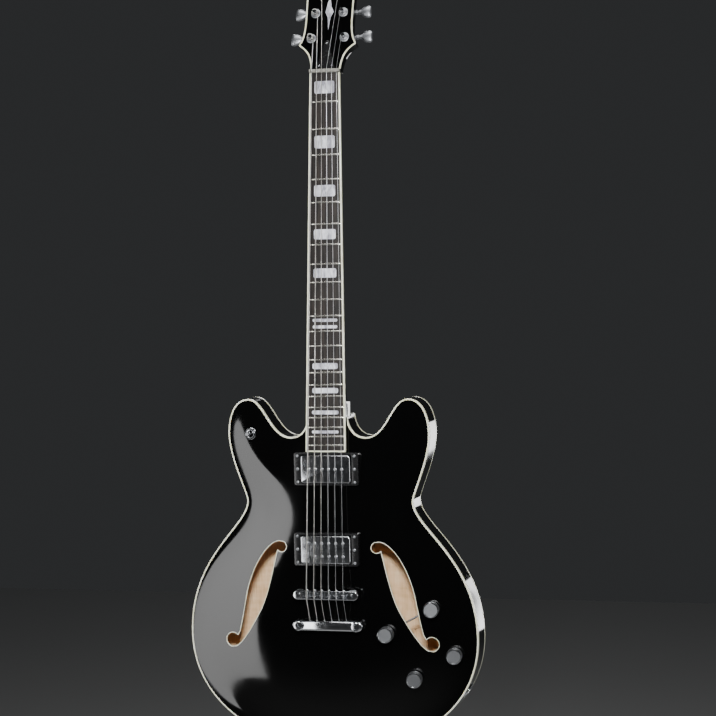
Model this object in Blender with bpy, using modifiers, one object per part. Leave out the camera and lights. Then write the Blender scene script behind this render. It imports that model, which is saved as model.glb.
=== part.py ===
"""Semi-hollow electric guitar of long (baritone) scale, hanging upright by its headstock.

Every length below is in millimetres and is turned to metres by at() or MM.
The front faces -Y, the treble side is +X and the headstock is up.
A place on the body is (x, station, depth): the station counts down from the nut, and the
depth counts backwards from the plane of the front binding, so the arched top is negative.
The neck and the headstock have frames of their own, tilted back at their joints.
"""
import math

import bmesh
import bpy
from mathutils import Vector

MM = 0.001
GAP = 0.3             # glued and resting faces stay this far apart
SEAT_GAP = 0.8        # hardware above the faceted arch of the top

SCALE_LENGTH = 711.2  # 28 inch
FRET_COUNT = 22
STRING_RADII = (0.86, 0.68, 0.50, 0.36, 0.26, 0.22)
NUT_STRING_PITCH = 7.1
STRING_AT_NUT = -1.6   # behind the board's surface, so in front of it
BRIDGE_STRING_PITCH = 10.4

FACE_Y = -38.0        # front binding plane, measured from the hanger point
NUT_Z = -11.5         # station 0, measured from the hanger point

BOARD_LENGTH = 522.0
BOARD_END_DEPTH = -14.0
BOARD_THICKNESS = 6.0
BOARD_HALF_AT_NUT = 21.5
BOARD_HALF_AT_END = 28.5
BOARD_RADIUS = 305.0
NECK_ANGLE = math.radians(4.4)
HEAD_ANGLE = math.radians(14.0)
HEAD_FACE = 4.5       # the headstock's face lies this far behind the board's surface
HEAD_THICKNESS = 14.5

RIM_DEPTH = 42.3
RIM_WALL = 3.0
PLATE = 5.0           # top and back plates, and the height of their binding
BINDING = 2.2
ARCH_RISE = 12.0
ARCH_POLE = 690.0     # station that the rings of the plates' meshes close on
CROWN_STATION = 735.0
TAIL_STATION = 935.0

BLOCK_HALF = 50.0
BLOCK_END = 926.0
KERFING = 2.0         # between the block and the plates, where thin kerfed strips are glued
TENON_HALF = 27.3
TENON_FRONT = 6.4     # depths of the tenon behind the board's surface
TENON_BACK = 28.0
TENON_END = 517.0
MORTISE_HALF = 28.2
MORTISE_FLOOR = 20.5

PICKUP_STATIONS = {"neck": 544.6, "bridge": 654.3}
PICKUP_TOPS = {"neck": -16.4, "bridge": -25.2}
BRIDGE_STATION = 716.0
SADDLE_TOP = -33.0
SADDLE_OFFSETS = (1.5, 0.7, 0.0, 0.9, 0.1, -0.9)  # further back for the heavier strings
TAILPIECE_STATION = 759.2
TAILPIECE_DEPTH = -20.0
STUD_X = 37.0
ANCHOR_X = 41.0
KNOB_PLACES = {
    "knob_neck_volume": (143.3, 735.1),
    "knob_bridge_volume": (80.9, 769.6),
    "knob_neck_tone": (173.2, 797.7),
    "knob_bridge_tone": (118.3, 830.1),
}
SWITCH_PLACE = (-110.9, 496.9)
JACK_STATION = 850.0
TUNER_ROWS = ((23.7, 53.3), (19.8, 90.5), (16.0, 127.0))

# Half of the body's outline as nodes: x, station, heading, handle before, handle after.
DOWN = (0, 1)
OUTWARD = (1, 0)
INWARD = (-1, 0)
OUTLINE_NODES = (
    (28, 472, DOWN, 0, 10),
    (53, 502, OUTWARD, 19, 31),
    (114, 449, OUTWARD, 24, 29),
    (144, 497, DOWN, 5, 36),
    (119, 590, DOWN, 11, 36),
    (206, 776, DOWN, 109, 99),
    (0, TAIL_STATION, INWARD, 114, 0),
)
OUTLINE_STEPS = (2, 5, 6, 4, 7, 8)


# ---------------------------------------------------------------- helpers

def clear_scene():
    for old in list(bpy.data.objects):
        bpy.data.objects.remove(old, do_unlink=True)


def new_collection(name):
    made = bpy.data.collections.new(name)
    bpy.context.scene.collection.children.link(made)
    return made


def at(x, station, depth):
    """A place in a frame, in metres."""
    return Vector((x, depth, -station)) * MM


def material(name, colour, roughness, metallic=0.0):
    made = bpy.data.materials.new(name)
    made.use_nodes = True
    shader = made.node_tree.nodes["Principled BSDF"]
    shader.inputs["Base Color"].default_value = (*colour, 1.0)
    shader.inputs["Roughness"].default_value = roughness
    shader.inputs["Metallic"].default_value = metallic
    made.diffuse_color = (*colour, 1.0)
    return made


def frame(name, place, tilt):
    """An empty that carries the parts of one plane of the guitar."""
    made = bpy.data.objects.new(name, None)
    PARTS.objects.link(made)
    made.location = place
    made.rotation_euler = (tilt, 0, 0)
    return made


def add_object(name, mesh, parent, finish, place=(0, 0, 0)):
    made = bpy.data.objects.new(name, mesh)
    PARTS.objects.link(made)
    made.parent = parent
    made.location = place
    if finish:
        mesh.materials.append(finish)
    return made


def as_cutter(obj):
    """Move an object to the cutters, which the finished part leaves out."""
    PARTS.objects.unlink(obj)
    CUTTERS.objects.link(obj)
    obj.hide_render = True
    obj.display_type = "WIRE"
    return obj


def boolean(target, tool, operation="DIFFERENCE"):
    modifier = target.modifiers.new(tool.name, "BOOLEAN")
    modifier.operation = operation
    modifier.object = tool


def smooth(obj, angle=40):
    obj.data.shade_smooth()
    obj.data.set_sharp_from_angle(angle=math.radians(angle))


def along_bezier(nodes, steps):
    """Points along cubic curves between nodes (x, station, heading, before, after)."""
    points = []
    for first, last, count in zip(nodes, nodes[1:], steps):
        start, end = Vector(first[:2]), Vector(last[:2])
        leave = start + Vector(first[2]).normalized() * first[4]
        arrive = end - Vector(last[2]).normalized() * last[3]
        for step in range(count):
            t = step / count
            u = 1 - t
            near_start = u**3 * start + 3 * u * u * t * leave
            near_end = 3 * u * t * t * arrive + t**3 * end
            points.append(near_start + near_end)
    points.append(Vector(nodes[-1][:2]))
    return points


def arc(centre, radius, first, last, count):
    """Points along an arc, whose angles run from +x towards rising stations."""
    points = []
    for step in range(count + 1):
        angle = math.radians(first + (last - first) * step / count)
        points.append(Vector(centre) + radius * Vector((math.cos(angle), math.sin(angle))))
    return points


def mirrored(half):
    """A closed outline from its right half, whose last point may lie on the centre line."""
    tail = [Vector((-p.x, p.y)) for p in reversed(half) if abs(p.x) > 0.01]
    return list(half) + tail


def inset(outline, width):
    """The closed outline moved inwards by a width."""
    count = len(outline)
    moved = []
    for index, point in enumerate(outline):
        before = (point - outline[index - 1]).normalized()
        after = (outline[(index + 1) % count] - point).normalized()
        heading = (before + after).normalized()
        inward = Vector((-heading.y, heading.x))
        half_turn = max(0.5, heading.dot(before))
        moved.append(point + inward * width / half_turn)
    return moved


def loft(name, sections, parent, finish, closed=False, place=(0, 0, 0)):
    """A solid through unlike sections: each is a ring of places with the same count."""
    bm = bmesh.new()
    rings = [[bm.verts.new(p) for p in section] for section in sections]
    pairs = list(zip(rings, rings[1:]))
    if closed:
        pairs.append((rings[-1], rings[0]))
    else:
        bm.faces.new(rings[0])
        bm.faces.new(rings[-1])
    for low, high in pairs:
        for index in range(len(low)):
            following = (index + 1) % len(low)
            bm.faces.new((low[index], low[following], high[following], high[index]))
    bmesh.ops.recalc_face_normals(bm, faces=bm.faces)
    bmesh.ops.triangulate(bm, faces=bm.faces)
    mesh = bpy.data.meshes.new(name)
    bm.to_mesh(mesh)
    bm.free()
    made = add_object(name, mesh, parent, finish, place)
    smooth(made)
    return made


def plate(name, outline, near, far, parent, finish=None):
    """A flat outline of (x, station) points, filled and extruded between two depths."""
    curve = bpy.data.curves.new(name, "CURVE")
    curve.dimensions = "2D"
    curve.fill_mode = "BOTH"
    curve.extrude = (far - near) * MM / 2
    spline = curve.splines.new("POLY")
    spline.points.add(len(outline) - 1)
    for point, place in zip(spline.points, outline):
        point.co = (place.x * MM, -place.y * MM, 0, 1)
    spline.use_cyclic_u = True
    drawn = add_object(name, curve, parent, None, at(0, 0, (near + far) / 2))
    drawn.rotation_euler = (math.radians(90), 0, 0)
    bpy.context.view_layer.update()
    evaluated = drawn.evaluated_get(bpy.context.evaluated_depsgraph_get())
    mesh = bpy.data.meshes.new_from_object(evaluated)
    place, turn = drawn.location.copy(), drawn.rotation_euler.copy()
    bpy.data.objects.remove(drawn)
    bm = bmesh.new()
    bm.from_mesh(mesh)
    bmesh.ops.remove_doubles(bm, verts=bm.verts, dist=0.00001)
    bmesh.ops.recalc_face_normals(bm, faces=bm.faces)
    bm.to_mesh(mesh)
    bm.free()
    made = add_object(name, mesh, parent, finish, place)
    made.rotation_euler = turn
    return made


def box(name, low, high, parent, finish=None, bevel=0.0, segments=1):
    """A block between two corners, each given as (x, station, depth)."""
    a, b = at(*low), at(*high)
    bm = bmesh.new()
    bmesh.ops.create_cube(bm, size=1.0)
    for vert in bm.verts:
        vert.co = Vector(vert.co[i] * abs(b[i] - a[i]) for i in range(3))
    mesh = bpy.data.meshes.new(name)
    bm.to_mesh(mesh)
    bm.free()
    made = add_object(name, mesh, parent, finish, (a + b) / 2)
    if bevel:
        rounding = made.modifiers.new("rounded_edges", "BEVEL")
        rounding.width = bevel * MM
        rounding.segments = segments
    return made


def turned(name, profile, parent, finish, place, direction, sides=16):
    """A turned piece. The profile runs down its outer side as (radius, height) pairs."""
    mesh = bpy.data.meshes.new(name)
    points = [(radius * MM, 0, height * MM) for radius, height in profile]
    edges = [(i, i + 1) for i in range(len(points) - 1)]
    mesh.from_pydata(points, edges, [])
    made = add_object(name, mesh, parent, finish, place)
    made.rotation_mode = "QUATERNION"
    made.rotation_quaternion = Vector(direction).to_track_quat("Z", "Y")
    screw = made.modifiers.new("turned", "SCREW")
    screw.angle = math.radians(360)
    screw.steps = sides
    screw.render_steps = sides
    screw.use_merge_vertices = True
    screw.merge_threshold = 0.00001
    screw.use_smooth_shade = True
    return made


def rod(name, points, radius, parent, finish):
    """A round wire through a list of places, closed at both ends."""
    curve = bpy.data.curves.new(name, "CURVE")
    curve.dimensions = "3D"
    curve.bevel_depth = radius * MM
    curve.bevel_resolution = 2
    curve.use_fill_caps = True
    spline = curve.splines.new("POLY")
    spline.points.add(len(points) - 1)
    for point, place in zip(spline.points, points):
        point.co = (*place, 1)
    return add_object(name, curve, parent, finish)


def rod_cutter(name, start, end, radius, parent, sides=16):
    """A round cutter between two places of a frame."""
    run = end - start
    length = run.length / MM
    profile = [(0, length), (radius, length), (radius, 0), (0, 0)]
    return as_cutter(turned(name, profile, parent, None, start, run, sides))


# ---------------------------------------------------------------- shapes shared by the parts

def board_half(station):
    """Half of the fingerboard's width."""
    share = station / BOARD_LENGTH
    return BOARD_HALF_AT_NUT + (BOARD_HALF_AT_END - BOARD_HALF_AT_NUT) * share


def crown(x):
    """How far the board's surface falls away at x from its centre line."""
    return BOARD_RADIUS - math.sqrt(BOARD_RADIUS**2 - x * x)


def fret_station(number):
    return SCALE_LENGTH * (1 - 2 ** (-number / 12))


def reach_from_edge(x, station):
    """A smoothed distance to the body's outline: the inverse cube of the distance, summed."""
    total = 0.0
    for first, last in zip(BODY_OUTLINE, BODY_OUTLINE[1:] + BODY_OUTLINE[:1]):
        run_x, run_s = last.x - first.x, last.y - first.y
        length = math.hypot(run_x, run_s)
        to_x, to_s = first.x - x, first.y - station
        near = (to_x * run_x + to_s * run_s) / length
        far = near + length
        off_line = max(0.01, ((to_x * run_s - to_s * run_x) / length) ** 2)
        far_share = far / math.sqrt(off_line + far * far)
        near_share = near / math.sqrt(off_line + near * near)
        total += (far_share - near_share) / off_line
    return math.sqrt(2 / total)


def arch_height(x, station):
    """Height of either plate's arch above its edge: it eases up from the edge to a flat crown."""
    share = min(1.0, reach_from_edge(x, station) / CROWN_REACH)
    return ARCH_RISE * math.sin(math.pi / 2 * share**0.9) ** 2


def top_depth(x, station):
    return -arch_height(x, station)


def top_normal(x, station):
    """The direction that faces out of the top."""
    reach = 4.0
    slope_x = (top_depth(x + reach, station) - top_depth(x - reach, station)) / (2 * reach)
    slope_s = (top_depth(x, station + reach) - top_depth(x, station - reach)) / (2 * reach)
    return Vector((slope_x, -1, -slope_s)).normalized()


def string_nut_x(index):
    return (index - 2.5) * NUT_STRING_PITCH


def string_bridge_x(index):
    return (index - 2.5) * BRIDGE_STRING_PITCH


def sound_hole_half():
    """The treble-side f-hole: two round eyes joined by a long leaf."""
    upper, upper_radius = (68.0, 652.5), 8.0
    lower, lower_radius = (142.5, 784.0), 10.5
    points = arc(upper, upper_radius, 45, 280, 6)
    points += along_bezier((
        (70, 644, OUTWARD, 0, 20),
        (121.5, 722, (0.19, 0.98), 40, 25),
        (133.5, 776, (0.3, 0.95), 12, 0),
    ), (5, 3))[:-1]
    points += arc(lower, lower_radius, 225, 440, 7)
    points += along_bezier((
        (141, 794.5, (-1, -0.1), 0, 12),
        (100, 743, (-0.5, -0.87), 22, 25),
        (74.5, 661, (-0.25, -0.97), 22, 0),
    ), (4, 4))[1:-1]
    return points


def headstock_outline():
    half = along_bezier((
        (21.5, -4, (0, -1), 0, 8),
        (25.5, -26, (0.35, -0.9), 7, 6),
        (40.5, -42.5, (0.8, -0.45), 8, 1.5),
        (39.5, -47.5, (-0.5, -0.8), 1.5, 6),
        (34, -82, (0, -1), 18, 20),
        (34.5, -140, (0, -1), 25, 20),
        (0, -182, INWARD, 26, 0),
    ), (3, 3, 1, 4, 3, 5))
    return mirrored(half)


# ---------------------------------------------------------------- body

def build_plate(name, sign, edge_depth, finish):
    """An arched plate. sign is -1 for the top, whose arch rises forwards, and 1 for the back."""
    edge = inset(BODY_OUTLINE, BINDING + GAP)
    pole = Vector((0, ARCH_POLE))
    shares = (0.1, 0.4, 0.62, 0.82, 1.0)
    sections = []
    for share in shares:
        ring = [pole + (p - pole) * share for p in edge]
        sections.append([at(p.x, p.y, edge_depth + sign * arch_height(p.x, p.y)) for p in ring])
    for share in reversed(shares):
        ring = [pole + (p - pole) * share for p in edge]
        inner = edge_depth - sign * PLATE
        sections.append([at(p.x, p.y, inner + sign * arch_height(p.x, p.y)) for p in ring])
    return loft(name, sections, BODY, finish)


def build_wall(name, near, far, thickness, finish):
    """A band that follows the body's outline between two depths."""
    count = len(BODY_OUTLINE)
    points = [at(p.x, p.y, near) for p in BODY_OUTLINE]
    points += [at(p.x, p.y, far) for p in BODY_OUTLINE]
    bm = bmesh.new()
    verts = [bm.verts.new(p) for p in points]
    for index in range(count):
        following = (index + 1) % count
        bm.faces.new((verts[index], verts[following], verts[count + following], verts[count + index]))
    mesh = bpy.data.meshes.new(name)
    bm.to_mesh(mesh)
    bm.free()
    made = add_object(name, mesh, BODY, finish)
    shell = made.modifiers.new("wall", "SOLIDIFY")
    shell.thickness = thickness * MM
    shell.offset = -1
    shell.use_even_offset = True
    smooth(made)
    return made


def build_block():
    """The maple block along the centre, shaped to lie between the two arches."""
    sections = []
    heel_stations = ((478, 24), (496, 24), (508, BLOCK_HALF))
    long_stations = tuple((550 + (BLOCK_END - 550) * i / 9, BLOCK_HALF) for i in range(10))
    for station, half in heel_stations + long_stations:
        across = [half * share for share in (-1, -0.5, 0, 0.5, 1)]
        front = [at(x, station, top_depth(x, station) + PLATE + KERFING) for x in across]
        back_face = RIM_DEPTH - PLATE - KERFING
        back = [at(x, station, back_face + arch_height(x, station)) for x in reversed(across)]
        sections.append(front + back)
    return loft("center_block", sections, BODY, MAPLE)


def jack_place():
    """Where the jack leaves the rim, and the direction that faces out there."""
    for first, last in zip(BODY_OUTLINE, BODY_OUTLINE[1:]):
        if first.x > 100 and first.y <= JACK_STATION <= last.y:
            share = (JACK_STATION - first.y) / (last.y - first.y)
            point = first.lerp(last, share)
            heading = (last - first).normalized()
            return point, Vector((heading.y, 0, heading.x))
    raise ValueError("the jack's station is off the rim")


def control_cutter(name, x, station, radius):
    """A bore through the top for a pot or the switch, square to the arch."""
    spot, outward = at(x, station, top_depth(x, station)), top_normal(x, station)
    return rod_cutter(name, spot - outward * 0.012, spot + outward * 0.006, radius, BODY)


def build_body():
    top = build_plate("body_top", -1, 0, BLACK_GLOSS)
    back = build_plate("body_back", 1, RIM_DEPTH, BLACK_GLOSS)
    rim = build_wall("body_rim", PLATE + GAP, RIM_DEPTH - PLATE - GAP, RIM_WALL, BLACK_GLOSS)
    front_binding = build_wall("top_binding", 0, PLATE, BINDING, IVORY)
    build_wall("back_binding", RIM_DEPTH - PLATE, RIM_DEPTH, BINDING, IVORY)
    block = build_block()

    low, high = (-MORTISE_HALF, 440, -40), (MORTISE_HALF, TENON_END + 5, MORTISE_FLOOR)
    mortise = as_cutter(box("mortise_cutter", low, high, BODY))
    for piece in (top, rim, front_binding, block):
        boolean(piece, mortise)

    right = sound_hole_half()
    left = [Vector((-p.x, p.y)) for p in reversed(right)]
    for name, outline in (("treble_hole_cutter", right), ("bass_hole_cutter", left)):
        boolean(top, as_cutter(plate(name, outline, -25, 12, BODY)))

    for name, station in PICKUP_STATIONS.items():
        low, high = (-37, station - 20.5, -30), (37, station + 20.5, 16)
        bay = as_cutter(box(f"{name}_bay_cutter", low, high, BODY))
        boolean(top, bay)
        boolean(block, bay)

    stud_holes = (
        ("bass_stud", -STUD_X, BRIDGE_STATION, 3.9), ("treble_stud", STUD_X, BRIDGE_STATION, 3.9),
        ("bass_anchor", -ANCHOR_X, TAILPIECE_STATION, 4.4),
        ("treble_anchor", ANCHOR_X, TAILPIECE_STATION, 4.4),
    )
    for name, x, station, radius in stud_holes:
        hole = rod_cutter(f"{name}_cutter", at(x, station, -30), at(x, station, 13), radius, BODY)
        boolean(top, hole)
        boolean(block, hole)
    for name, (x, station) in KNOB_PLACES.items():
        boolean(top, control_cutter(f"{name}_cutter", x, station, 5.0))
    boolean(top, control_cutter("switch_cutter", *SWITCH_PLACE, 6.6))
    boolean(block, rod_cutter("wire_way_cutter", at(-60, 600, 28), at(60, 600, 28), 4.0, BODY, 8))

    point, outward = jack_place()
    mouth = at(point.x, point.y, RIM_DEPTH / 2)
    boolean(rim, rod_cutter("jack_cutter", mouth - outward * 0.02, mouth + outward * 0.02, 6.0, BODY))
    tail = at(0, TAIL_STATION, RIM_DEPTH / 2)
    down = Vector((0, 0, -1))
    tail_hole = rod_cutter("tail_screw_cutter", tail - down * 0.026, tail + down * 0.004, 2.4, BODY, 12)
    boolean(rim, tail_hole)
    boolean(block, tail_hole)


# ---------------------------------------------------------------- neck

def neck_section(station, half, back, count=9):
    """A D-shaped section of the neck: flat under the board, round behind."""
    front = BOARD_THICKNESS + GAP
    ring = []
    for index in range(count):
        angle = math.pi * index / (count - 1)
        x = half * math.copysign(abs(math.cos(angle)) ** 0.75, math.cos(angle))
        ring.append(at(x, station, front + (back - front) * math.sin(angle) ** 0.85))
    return ring


def heel_section(body_station, half, back, count=9):
    """A section of the heel, square to the body and not to the neck."""
    ring = []
    for place in neck_section(0, half, back, count):
        depth = place.y / MM
        rise = BOARD_LENGTH - BOARD_LENGTH * math.cos(NECK_ANGLE)
        station = (body_station - rise - depth * math.sin(NECK_ANGLE)) / math.cos(NECK_ANGLE)
        ring.append(at(place.x / MM, station, depth))
    return ring


def build_neck():
    sections = [
        neck_section(-4, 21.3, 18.5),
        neck_section(0, 21.3, 20.5),
        neck_section(180, board_half(180) - 0.2, 21.8),
        neck_section(360, board_half(360) - 0.2, 23.4),
        heel_section(430, 27.0, 25.0),
        heel_section(446, 27.3, 31.0),
        heel_section(456, 27.5, 44.0),
        heel_section(462, 27.5, 50.5),
        heel_section(471.6, 27.6, 52.2),
    ]
    neck = loft("neck", sections, NECK, BLACK_GLOSS)
    head_back = HEAD_FACE + HEAD_THICKNESS
    head = as_cutter(plate("headstock_plate", headstock_outline(), HEAD_FACE, head_back, HEAD))
    boolean(neck, head, "UNION")
    low, high = (-TENON_HALF, 452, TENON_FRONT), (TENON_HALF, TENON_END, TENON_BACK)
    boolean(neck, as_cutter(box("tenon_block", low, high, NECK)), "UNION")
    boolean(neck, as_cutter(box("rod_way_cutter", (-3.3, -14, -2), (3.3, 425, 14), NECK)))
    boolean(neck, as_cutter(box("rod_pocket_cutter", (-6, -34, -2), (6, -9, 12.5), HEAD)))
    for side in (-1, 1):
        for x, rise in TUNER_ROWS:
            start, end = at(side * x, -rise, -5), at(side * x, -rise, 30)
            boolean(neck, rod_cutter("tuner_hole_cutter", start, end, 4.0, HEAD, 12))
    strap_hole = rod_cutter("heel_screw_cutter", at(0, 460, 20), at(0, 460, 60), 2.4, BODY, 12)
    boolean(neck, strap_hole)


def build_fingerboard():
    """The board, with its frets let in."""
    across = (-1, 0, 1)
    sections = []
    for station in (0, BOARD_LENGTH - 1.0):
        half = board_half(station)
        surface = [at(half * share, station, crown(half * share)) for share in across]
        sections.append(surface + [at(half, station, BOARD_THICKNESS), at(-half, station, BOARD_THICKNESS)])
    board = loft("fingerboard", sections, NECK, ROSEWOOD)
    for number in range(1, FRET_COUNT + 1):
        station = fret_station(number)
        half = board_half(station) - 1.0
        profile = ((-1.3, 0.4), (-0.7, -1.1), (0.7, -1.1), (1.3, 0.4))
        bars = []
        for share in across:
            x = half * share
            bars.append([at(x, station + along, crown(x) + depth) for along, depth in profile])
        boolean(board, as_cutter(loft(f"fret_{number}_bar", bars, NECK, None)), "UNION")


def build_nut():
    low, high = (-BOARD_HALF_AT_NUT, -5.2, -3.0), (BOARD_HALF_AT_NUT, -0.4, 5.0)
    nut = box("nut", low, high, NECK, BONE, 0.6)
    for index, radius in enumerate(STRING_RADII):
        x = string_nut_x(index)
        half = radius + 0.35
        low, high = (x - half, -9, -8), (x + half, 4, STRING_AT_NUT + radius + 0.45)
        boolean(nut, as_cutter(box("nut_slot_cutter", low, high, NECK)))


def build_truss_rod():
    rod("truss_rod", [at(0, -9.5, 10.4), at(0, 424.5, 10.4)], 2.7, NECK, STEEL)
    half = along_bezier((
        (13, -7.5, (0, -1), 0, 4),
        (7, -30, (-0.2, -1), 9, 5),
        (0, -49, INWARD, 5, 0),
    ), (4, 4))
    plate("truss_rod_cover", mirrored(half), HEAD_FACE - GAP - 2.0, HEAD_FACE - GAP, HEAD, BLACK_PLASTIC)


# ---------------------------------------------------------------- tuners

def build_tuners():
    """Six worm tuners: a housing behind the headstock, a post through it, a button beside it."""
    back = HEAD_FACE + HEAD_THICKNESS + GAP
    worm_depth = back + 5.0
    worm_offset = 7.4       # from the post's axis, away from the nut
    for side, hand in ((-1, "bass"), (1, "treble")):
        for row, (post_x, rise) in enumerate(TUNER_ROWS, 1):
            label = f"{hand}_{row}"
            x = side * post_x
            turned(f"tuner_post_{label}", [
                (0, 9.5), (3.0, 9.5), (3.0, -HEAD_THICKNESS - 3.0), (4.8, -HEAD_THICKNESS - 3.0),
                (4.8, -HEAD_THICKNESS - 7.2), (0, -HEAD_THICKNESS - 7.2),
            ], HEAD, CHROME, at(x, -rise, HEAD_FACE), (0, -1, 0), 10)

            low = (x - 8.0, -rise - 12.5, back)
            high = (x + 8.0, -rise + 8.0, back + 10.0)
            housing = box(f"tuner_housing_{label}", low, high, HEAD, CHROME)
            hollow_low = (x - 6.6, -rise - 11.1, back - 2.0)
            hollow_high = (x + 6.6, -rise + 6.6, back + 8.8)
            boolean(housing, as_cutter(box("housing_hollow", hollow_low, hollow_high, HEAD)))
            worm = at(x, -rise - worm_offset, worm_depth)
            reach = Vector((side * 0.02, 0, 0))
            boolean(housing, rod_cutter("worm_hole_cutter", worm, worm + reach, 2.2, HEAD, 8))

            # sections along the shaft: distance from the post's axis, half height, half thickness
            steps = (
                (-5.8, 2.1, 2.1), (5.8, 2.1, 2.1), (5.9, 1.8, 1.8), (12.0, 1.8, 1.8), (12.1, 3.2, 3.2),
                (19.4, 3.0, 2.6), (27.4, 8.4, 3.8), (32.4, 9.0, 3.6), (34.7, 7.6, 2.2),
            )
            sections = []
            for distance, half_height, half_thick in steps:
                ring = []
                for corner in range(8):
                    angle = 2 * math.pi * (corner + 0.5) / 8
                    up, deep = half_height * math.cos(angle), half_thick * math.sin(angle)
                    ring.append(Vector((side * distance, deep, up)) * MM)
                sections.append(ring)
            loft(f"tuner_button_{label}", sections, HEAD, CHROME, place=worm)


# ---------------------------------------------------------------- strings

def build_strings():
    """Six strings along their real route: tailpiece, saddle, nut slot and post."""
    frames = {piece: piece.matrix_world.copy() for piece in (BODY, NECK, HEAD)}
    order = [("bass", 1), ("bass", 2), ("bass", 3), ("treble", 3), ("treble", 2), ("treble", 1)]
    for index, radius in enumerate(STRING_RADII):
        hand, row = order[index]
        side = -1 if hand == "bass" else 1
        post_x, rise = TUNER_ROWS[row - 1]
        bridge_x, nut_x = string_bridge_x(index), string_nut_x(index)
        post_side = side * (post_x - 3.0 - radius - 0.35)
        route = [
            frames[BODY] @ at(bridge_x, TAILPIECE_STATION - 1, TAILPIECE_DEPTH),
            frames[BODY] @ at(bridge_x, TAILPIECE_STATION - 8.2, TAILPIECE_DEPTH),
            frames[BODY] @ at(bridge_x, BRIDGE_STATION + 2.7, SADDLE_TOP - radius - 0.2),
            frames[NECK] @ at(nut_x, -0.4, STRING_AT_NUT),
            frames[NECK] @ at(nut_x, -5.0, STRING_AT_NUT),
            frames[HEAD] @ at(post_side, -rise - 1.0, HEAD_FACE - 6.0),
        ]
        rod(f"string_{index + 1}", route, radius, None, NICKEL if index < 3 else STEEL)


# ---------------------------------------------------------------- pickups

def rounded_rectangle(half_x, half_s, radius, station, extra):
    """A rounded rectangle with its corners turned in three steps and extra points on long sides."""
    ring = []
    corners = ((1, -1, -90), (1, 1, 0), (-1, 1, 90), (-1, -1, 180))
    for side_x, side_s, start in corners:
        centre = (side_x * (half_x - radius), station + side_s * (half_s - radius))
        ring += arc(centre, radius, start, start + 90, 2)
        if side_x == side_s:
            reach = half_x - radius
            for step in range(1, extra + 1):
                x = side_x * reach * (1 - 2 * step / (extra + 1))
                ring.append(Vector((x, station + side_s * half_s)))
    return ring


def build_pickups():
    for name, station in PICKUP_STATIONS.items():
        cover_top = PICKUP_TOPS[name]
        rim_top = cover_top + 4.0
        outer = rounded_rectangle(45.5, 22.5, 3.0, station, 3)
        inner = rounded_rectangle(36.2, 19.9, 2.0, station, 3)

        def seat(points):
            return [at(p.x, p.y, top_depth(p.x, p.y) - SEAT_GAP) for p in points]

        def face(points):
            return [at(p.x, p.y, rim_top) for p in points]

        sections = [seat(outer), face(outer), face(inner), seat(inner)]
        loft(f"pickup_ring_{name}", sections, BODY, BLACK_PLASTIC, closed=True)
        low = (-35.0, station - 19.0, cover_top)
        high = (35.0, station + 19.0, cover_top + 19.0)
        box(f"pickup_{name}", low, high, BODY, CHROME, 1.6)


# ---------------------------------------------------------------- bridge and tailpiece

def build_bridge():
    bottom = -23.4
    low = (-46, BRIDGE_STATION - 6.2, -31.0)
    bridge = box("bridge_body", low, (46, BRIDGE_STATION + 6.2, bottom), BODY, CHROME, 1.0)
    low, high = (-32.5, BRIDGE_STATION - 4.7, -40), (32.5, BRIDGE_STATION + 4.7, -25.4)
    boolean(bridge, as_cutter(box("trough_cutter", low, high, BODY)))
    for side, x in (("bass", -STUD_X), ("treble", STUD_X)):
        start, end = at(x, BRIDGE_STATION, -40), at(x, BRIDGE_STATION, -10)
        boolean(bridge, rod_cutter(f"{side}_pin_cutter", start, end, 3.2, BODY, 12))
        turned(f"bridge_stud_{side}", [
            (0, 10.0), (2.7, 10.0), (2.7, 1.6), (8.0, 1.6), (8.0, -1.6), (3.3, -1.6),
            (3.3, -30.0), (0, -30.0),
        ], BODY, CHROME, at(x, BRIDGE_STATION, bottom + GAP + 1.6), (0, -1, 0), 14)

    for index in range(6):
        x = string_bridge_x(index)
        station = BRIDGE_STATION + SADDLE_OFFSETS[index]
        foot, peak = -25.8, SADDLE_TOP + 0.35
        profile = ((-2.0, foot), (-2.0, -29.5), (-0.4, peak), (0.4, peak), (2.0, -29.5), (2.0, foot))
        sections = []
        for across in (-3.9, 3.9):
            sections.append([at(across, along, depth) for along, depth in profile])
        loft(f"saddle_{index + 1}", sections, BODY, CHROME, place=at(x, station, 0))


def build_tailpiece():
    low = (-50, TAILPIECE_STATION - 7.0, TAILPIECE_DEPTH - 5.6)
    high = (50, TAILPIECE_STATION + 7.0, TAILPIECE_DEPTH + 5.6)
    bar = box("tailpiece", low, high, BODY, CHROME, 3.0)
    for index in range(6):
        x = string_bridge_x(index)
        start = at(x, TAILPIECE_STATION - 12, TAILPIECE_DEPTH)
        end = at(x, TAILPIECE_STATION + 12, TAILPIECE_DEPTH)
        boolean(bar, rod_cutter("string_bore_cutter", start, end, 1.7, BODY, 6))
    for side, x in (("bass", -ANCHOR_X), ("treble", ANCHOR_X)):
        low, high = (x - 4.0, TAILPIECE_STATION - 12, -40), (x + 4.0, TAILPIECE_STATION + 4.0, -8)
        boolean(bar, as_cutter(box("anchor_slot_cutter", low, high, BODY)))
        turned(f"tailpiece_stud_{side}", [
            (0, 9.2), (6.4, 8.6), (6.4, 6.0), (3.5, 6.0), (3.5, -6.0), (6.4, -6.0),
            (6.4, -8.0), (4.0, -8.0), (4.0, -31.0), (0, -31.0),
        ], BODY, CHROME, at(x, TAILPIECE_STATION, TAILPIECE_DEPTH), (0, -1, 0), 12)


# ---------------------------------------------------------------- controls

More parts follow.
